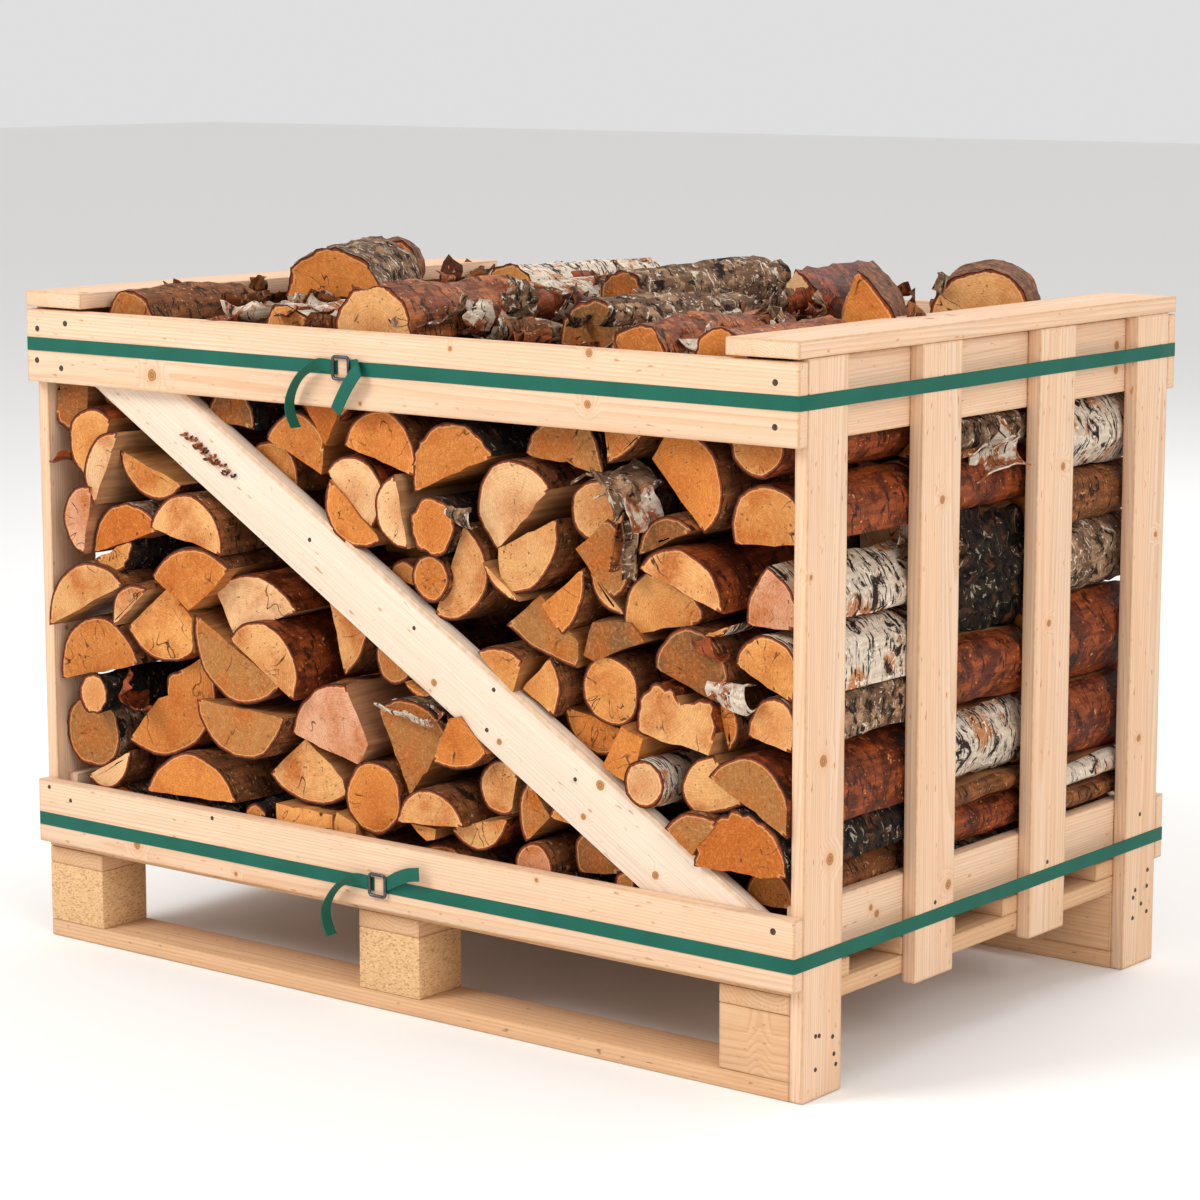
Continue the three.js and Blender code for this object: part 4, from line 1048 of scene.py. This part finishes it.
# where a flake lies: middle in mm, curl radius, arc in degrees, length along the log, turns about x, y, z in degrees
flakes = [
    ("over_log74", (334, -398, 648), 46, 120, 78, (6, 232, -16), "grey"),
    ("over_log74b", (356, -404, 642), 34, 120, 62, (-10, 250, 14), "paper"),
    ("strip_log74", (366, -404, 606), 8, 190, 66, (84, 0, 20), "grey"),
    ("strip_log74b", (354, -406, 612), 7, 150, 52, (74, 16, 60), "rustLit"),
    ("fold_log88", (508, -394, 455), 14, 230, 62, (0, 70, 78), "paper"),
    ("strip_log88", (478, -396, 512), 12, 190, 50, (0, 10, 60), "red"),
    ("branch_log23", (-440, -396, 352), 18, 210, 70, (10, 40, 50), "red"),
    ("strip_log01", (-566, -392, 655), 12, 120, 50, (0, 6, 0), "red"),
    ("bits_log38", (118, -398, 628), 12, 160, 46, (0, 72, 70), "grey"),
    ("ragged_log51", (20, -394, 392), 18, 120, 90, (0, 20, 84), "paper"),
    ("top_scrap_left", (-480, -330, 868), 26, 90, 70, (16, 30, 30), "brown"),
    ("heap_flake1", (150, -120, 868), 30, 150, 90, (20, 10, 76), "paper"),
    ("heap_flake2", (-10, -130, 872), 22, 190, 70, (0, 20, 40), "paper"),
    ("heap_flake3", (330, -330, 858), 18, 170, 80, (10, 0, 10), "brown"),
    ("heap_flake4", (-260, -340, 858), 24, 140, 90, (4, 0, -60), "paper"),
    ("heap_flake5", (80, 180, 872), 26, 160, 100, (0, 12, 30), "paper"),
    ("heap_flake6", (330, 40, 870), 16, 200, 90, (8, 0, 60), "red"),
    ("heap_flake7", (520, -40, 858), 14, 170, 80, (0, 0, -12), "brown"),
    ("curl_right1", (586, -150, 640), 13, 210, 70, (80, 0, 20), "paper"),
    ("curl_right2", (588, -152, 604), 9, 200, 44, (70, 30, 0), "grey"),
    ("curl_right3", (588, -160, 452), 12, 190, 48, (78, 0, 60), "paper"),
    ("curl_right4", (586, 0, 730), 22, 120, 90, (20, 60, 0), "paper"),
    ("curl_right5", (588, 28, 690), 14, 160, 80, (40, 70, 20), "paper"),
]


flakeThickness = 1.6 * mm


def addFlake(bm, middle, radius, arc, length, turns, seed):
    # a short row of edges is spun into a curl, given a bark's thickness outwards and torn at its ends
    placeLayer = bm.verts.layers.float_vector["logPlace"]
    cuts = max(4, round(length / 6))
    before = set(bm.faces)
    row = [bm.verts.new((radius * mm, (k / cuts - 0.5) * length * mm, 0)) for k in range(cuts + 1)]
    edges = [bm.edges.new((row[k], row[k + 1])) for k in range(cuts)]
    bmesh.ops.spin(bm, geom=row + edges, cent=(0, 0, 0), axis=(0, 1, 0), angle=math.radians(arc), steps=8,
                   use_merge=False, dvec=(0, 0, 0))
    sheet = [face for face in bm.faces if face not in before]
    grown = bmesh.ops.extrude_face_region(bm, geom=sheet, use_keep_orig=True)["geom"]
    for vert in [item for item in grown if isinstance(item, bmesh.types.BMVert)]:
        vert.co += Vector((vert.co.x, 0, vert.co.z)).normalized() * flakeThickness
    flake = [face for face in bm.faces if face not in before]
    place = Matrix.Translation(Vector(middle) * mm) @ Euler([math.radians(t) for t in turns]).to_matrix().to_4x4()
    torn = min(2.4 + radius * 0.2, radius * 0.42)
    for vert in {v for face in flake for v in face.verts}:
        vert[placeLayer] = vert.co + Vector((0, seed * 1.7, 0))
        wild = 1.0 + 2.2 * abs(vert.co.y) / (length * mm)
        vert.co += noise.noise_vector(vert.co * 42 + Vector((seed, 0, 0))) * torn * wild * mm
        vert.co = place @ vert.co
    bmesh.ops.recalc_face_normals(bm, faces=flake)


def newFlakeMesh():
    bm = bmesh.new()
    bm.verts.layers.float_vector.new("logPlace")
    return bm


for i, (name, middle, radius, arc, length, turns, bark) in enumerate(flakes):
    bm = newFlakeMesh()
    addFlake(bm, middle, radius, arc, length, turns, 40 + i)
    finishPiece(bm, "bark_" + name, [barks[bark]])

# the ragged bark scar left on the front brace, from its upper end downwards in mm
braceScar = {"start": (-341, 697), "end": (-262, 645), "bits": 16, "face": -400.4}
rng = random.Random(41)
bm = newFlakeMesh()
for i in range(braceScar["bits"]):
    along = i / (braceScar["bits"] - 1)
    x = braceScar["start"][0] + along * (braceScar["end"][0] - braceScar["start"][0]) + rng.uniform(-4, 4)
    z = braceScar["start"][1] + along * (braceScar["end"][1] - braceScar["start"][1]) + rng.uniform(-5, 5)
    addFlake(bm, (x, braceScar["face"] + 2.2, z), rng.uniform(3, 5), 150, rng.uniform(8, 20),
             (rng.uniform(-4, 4), 0, 0), rng.uniform(0, 50))
finishPiece(bm, "bark_scar_brace", [barks["rustLit"]])

# shreds of peeled bark and chips over the heap and along the boards: count, spread in mm and size range in mm
shreds = {
    "paper": {"count": 62, "x": (-330, 420), "y": (-388, -60), "z": (836, 864), "length": (20, 70), "radius": (9, 30)},
    "red": {"count": 60, "x": (-560, 550), "y": (-392, 385), "z": (834, 868), "length": (18, 70), "radius": (7, 22)},
    "rustLit": {"count": 40, "x": (-300, 500), "y": (-385, 100), "z": (838, 868), "length": (20, 70), "radius": (8, 26)},
    "brown": {"count": 60, "x": (-560, 550), "y": (-392, 385), "z": (832, 864), "length": (14, 56), "radius": (6, 18)},
    "grey": {"count": 40, "x": (-60, 420), "y": (-340, 200), "z": (850, 882), "length": (26, 76), "radius": (12, 34)},
}
rng = random.Random(99)
for bark, spread in shreds.items():
    bm = newFlakeMesh()
    for i in range(spread["count"]):
        middle = [rng.uniform(*spread[axis]) for axis in "xyz"]
        turns = (rng.uniform(-25, 25), rng.uniform(-60, 20), rng.uniform(-40, 40))
        addFlake(bm, middle, rng.uniform(*spread["radius"]), rng.uniform(70, 170), rng.uniform(*spread["length"]),
                 turns, rng.uniform(0, 50))
    finishPiece(bm, "shreds_" + bark, [barks[bark]])
print("bark and chips done")


# floor, light and camera

def makeFloor():
    material, tree, shader = newMaterial("floorPale", 0.9)
    shader.inputs["Base Color"].default_value = linear("#f3f2f0")
    bm = bmesh.new()
    bmesh.ops.create_grid(bm, x_segments=1, y_segments=1, size=30)
    bmesh.ops.translate(bm, verts=bm.verts[:], vec=(0, 0, -0.0005))
    mesh = bpy.data.meshes.new("floor")
    bm.to_mesh(mesh)
    bm.free()
    mesh.materials.append(material)
    floor = bpy.data.objects.new("floor", mesh)
    bpy.context.scene.collection.objects.link(floor)


makeFloor()
lights = {
    "key": {"place": (-2.4, -4.6, 4.4), "size": 2.4, "watts": 228},
    "fill": {"place": (4.6, -2.2, 2.6), "size": 2.6, "watts": 92},
    "back": {"place": (0.5, 4.2, 4.2), "size": 3.0, "watts": 110},
}
for name, light in lights.items():
    lamp = bpy.data.lights.new(name, "AREA")
    lamp.size = light["size"]
    lamp.energy = light["watts"]
    holder = bpy.data.objects.new(name, lamp)
    holder.location = light["place"]
    holder.rotation_euler = (Vector((0, 0, 0.45)) - Vector(light["place"])).to_track_quat("-Z", "Y").to_euler()
    bpy.context.scene.collection.objects.link(holder)
world = bpy.data.worlds.new("softWhite")
world.use_nodes = True
world.node_tree.nodes["Background"].inputs["Color"].default_value = linear("#ffffff")
world.node_tree.nodes["Background"].inputs["Strength"].default_value = 0.74
bpy.context.scene.world = world

cameraView = {"place": (2.7458, -3.5009, 1.1927), "pitch": 80.683, "yaw": 38.027, "lens": 104.05}
camera = bpy.data.cameras.new("mainCamera")
camera.lens = cameraView["lens"]
camera.sensor_width = 36
camera.clip_end = 80
holder = bpy.data.objects.new("mainCamera", camera)
holder.location = cameraView["place"]
holder.rotation_euler = (math.radians(cameraView["pitch"]), 0, math.radians(cameraView["yaw"]))
bpy.context.scene.collection.objects.link(holder)
bpy.context.scene.camera = holder
bpy.context.scene.view_settings.view_transform = "Standard"
print("light and camera done")
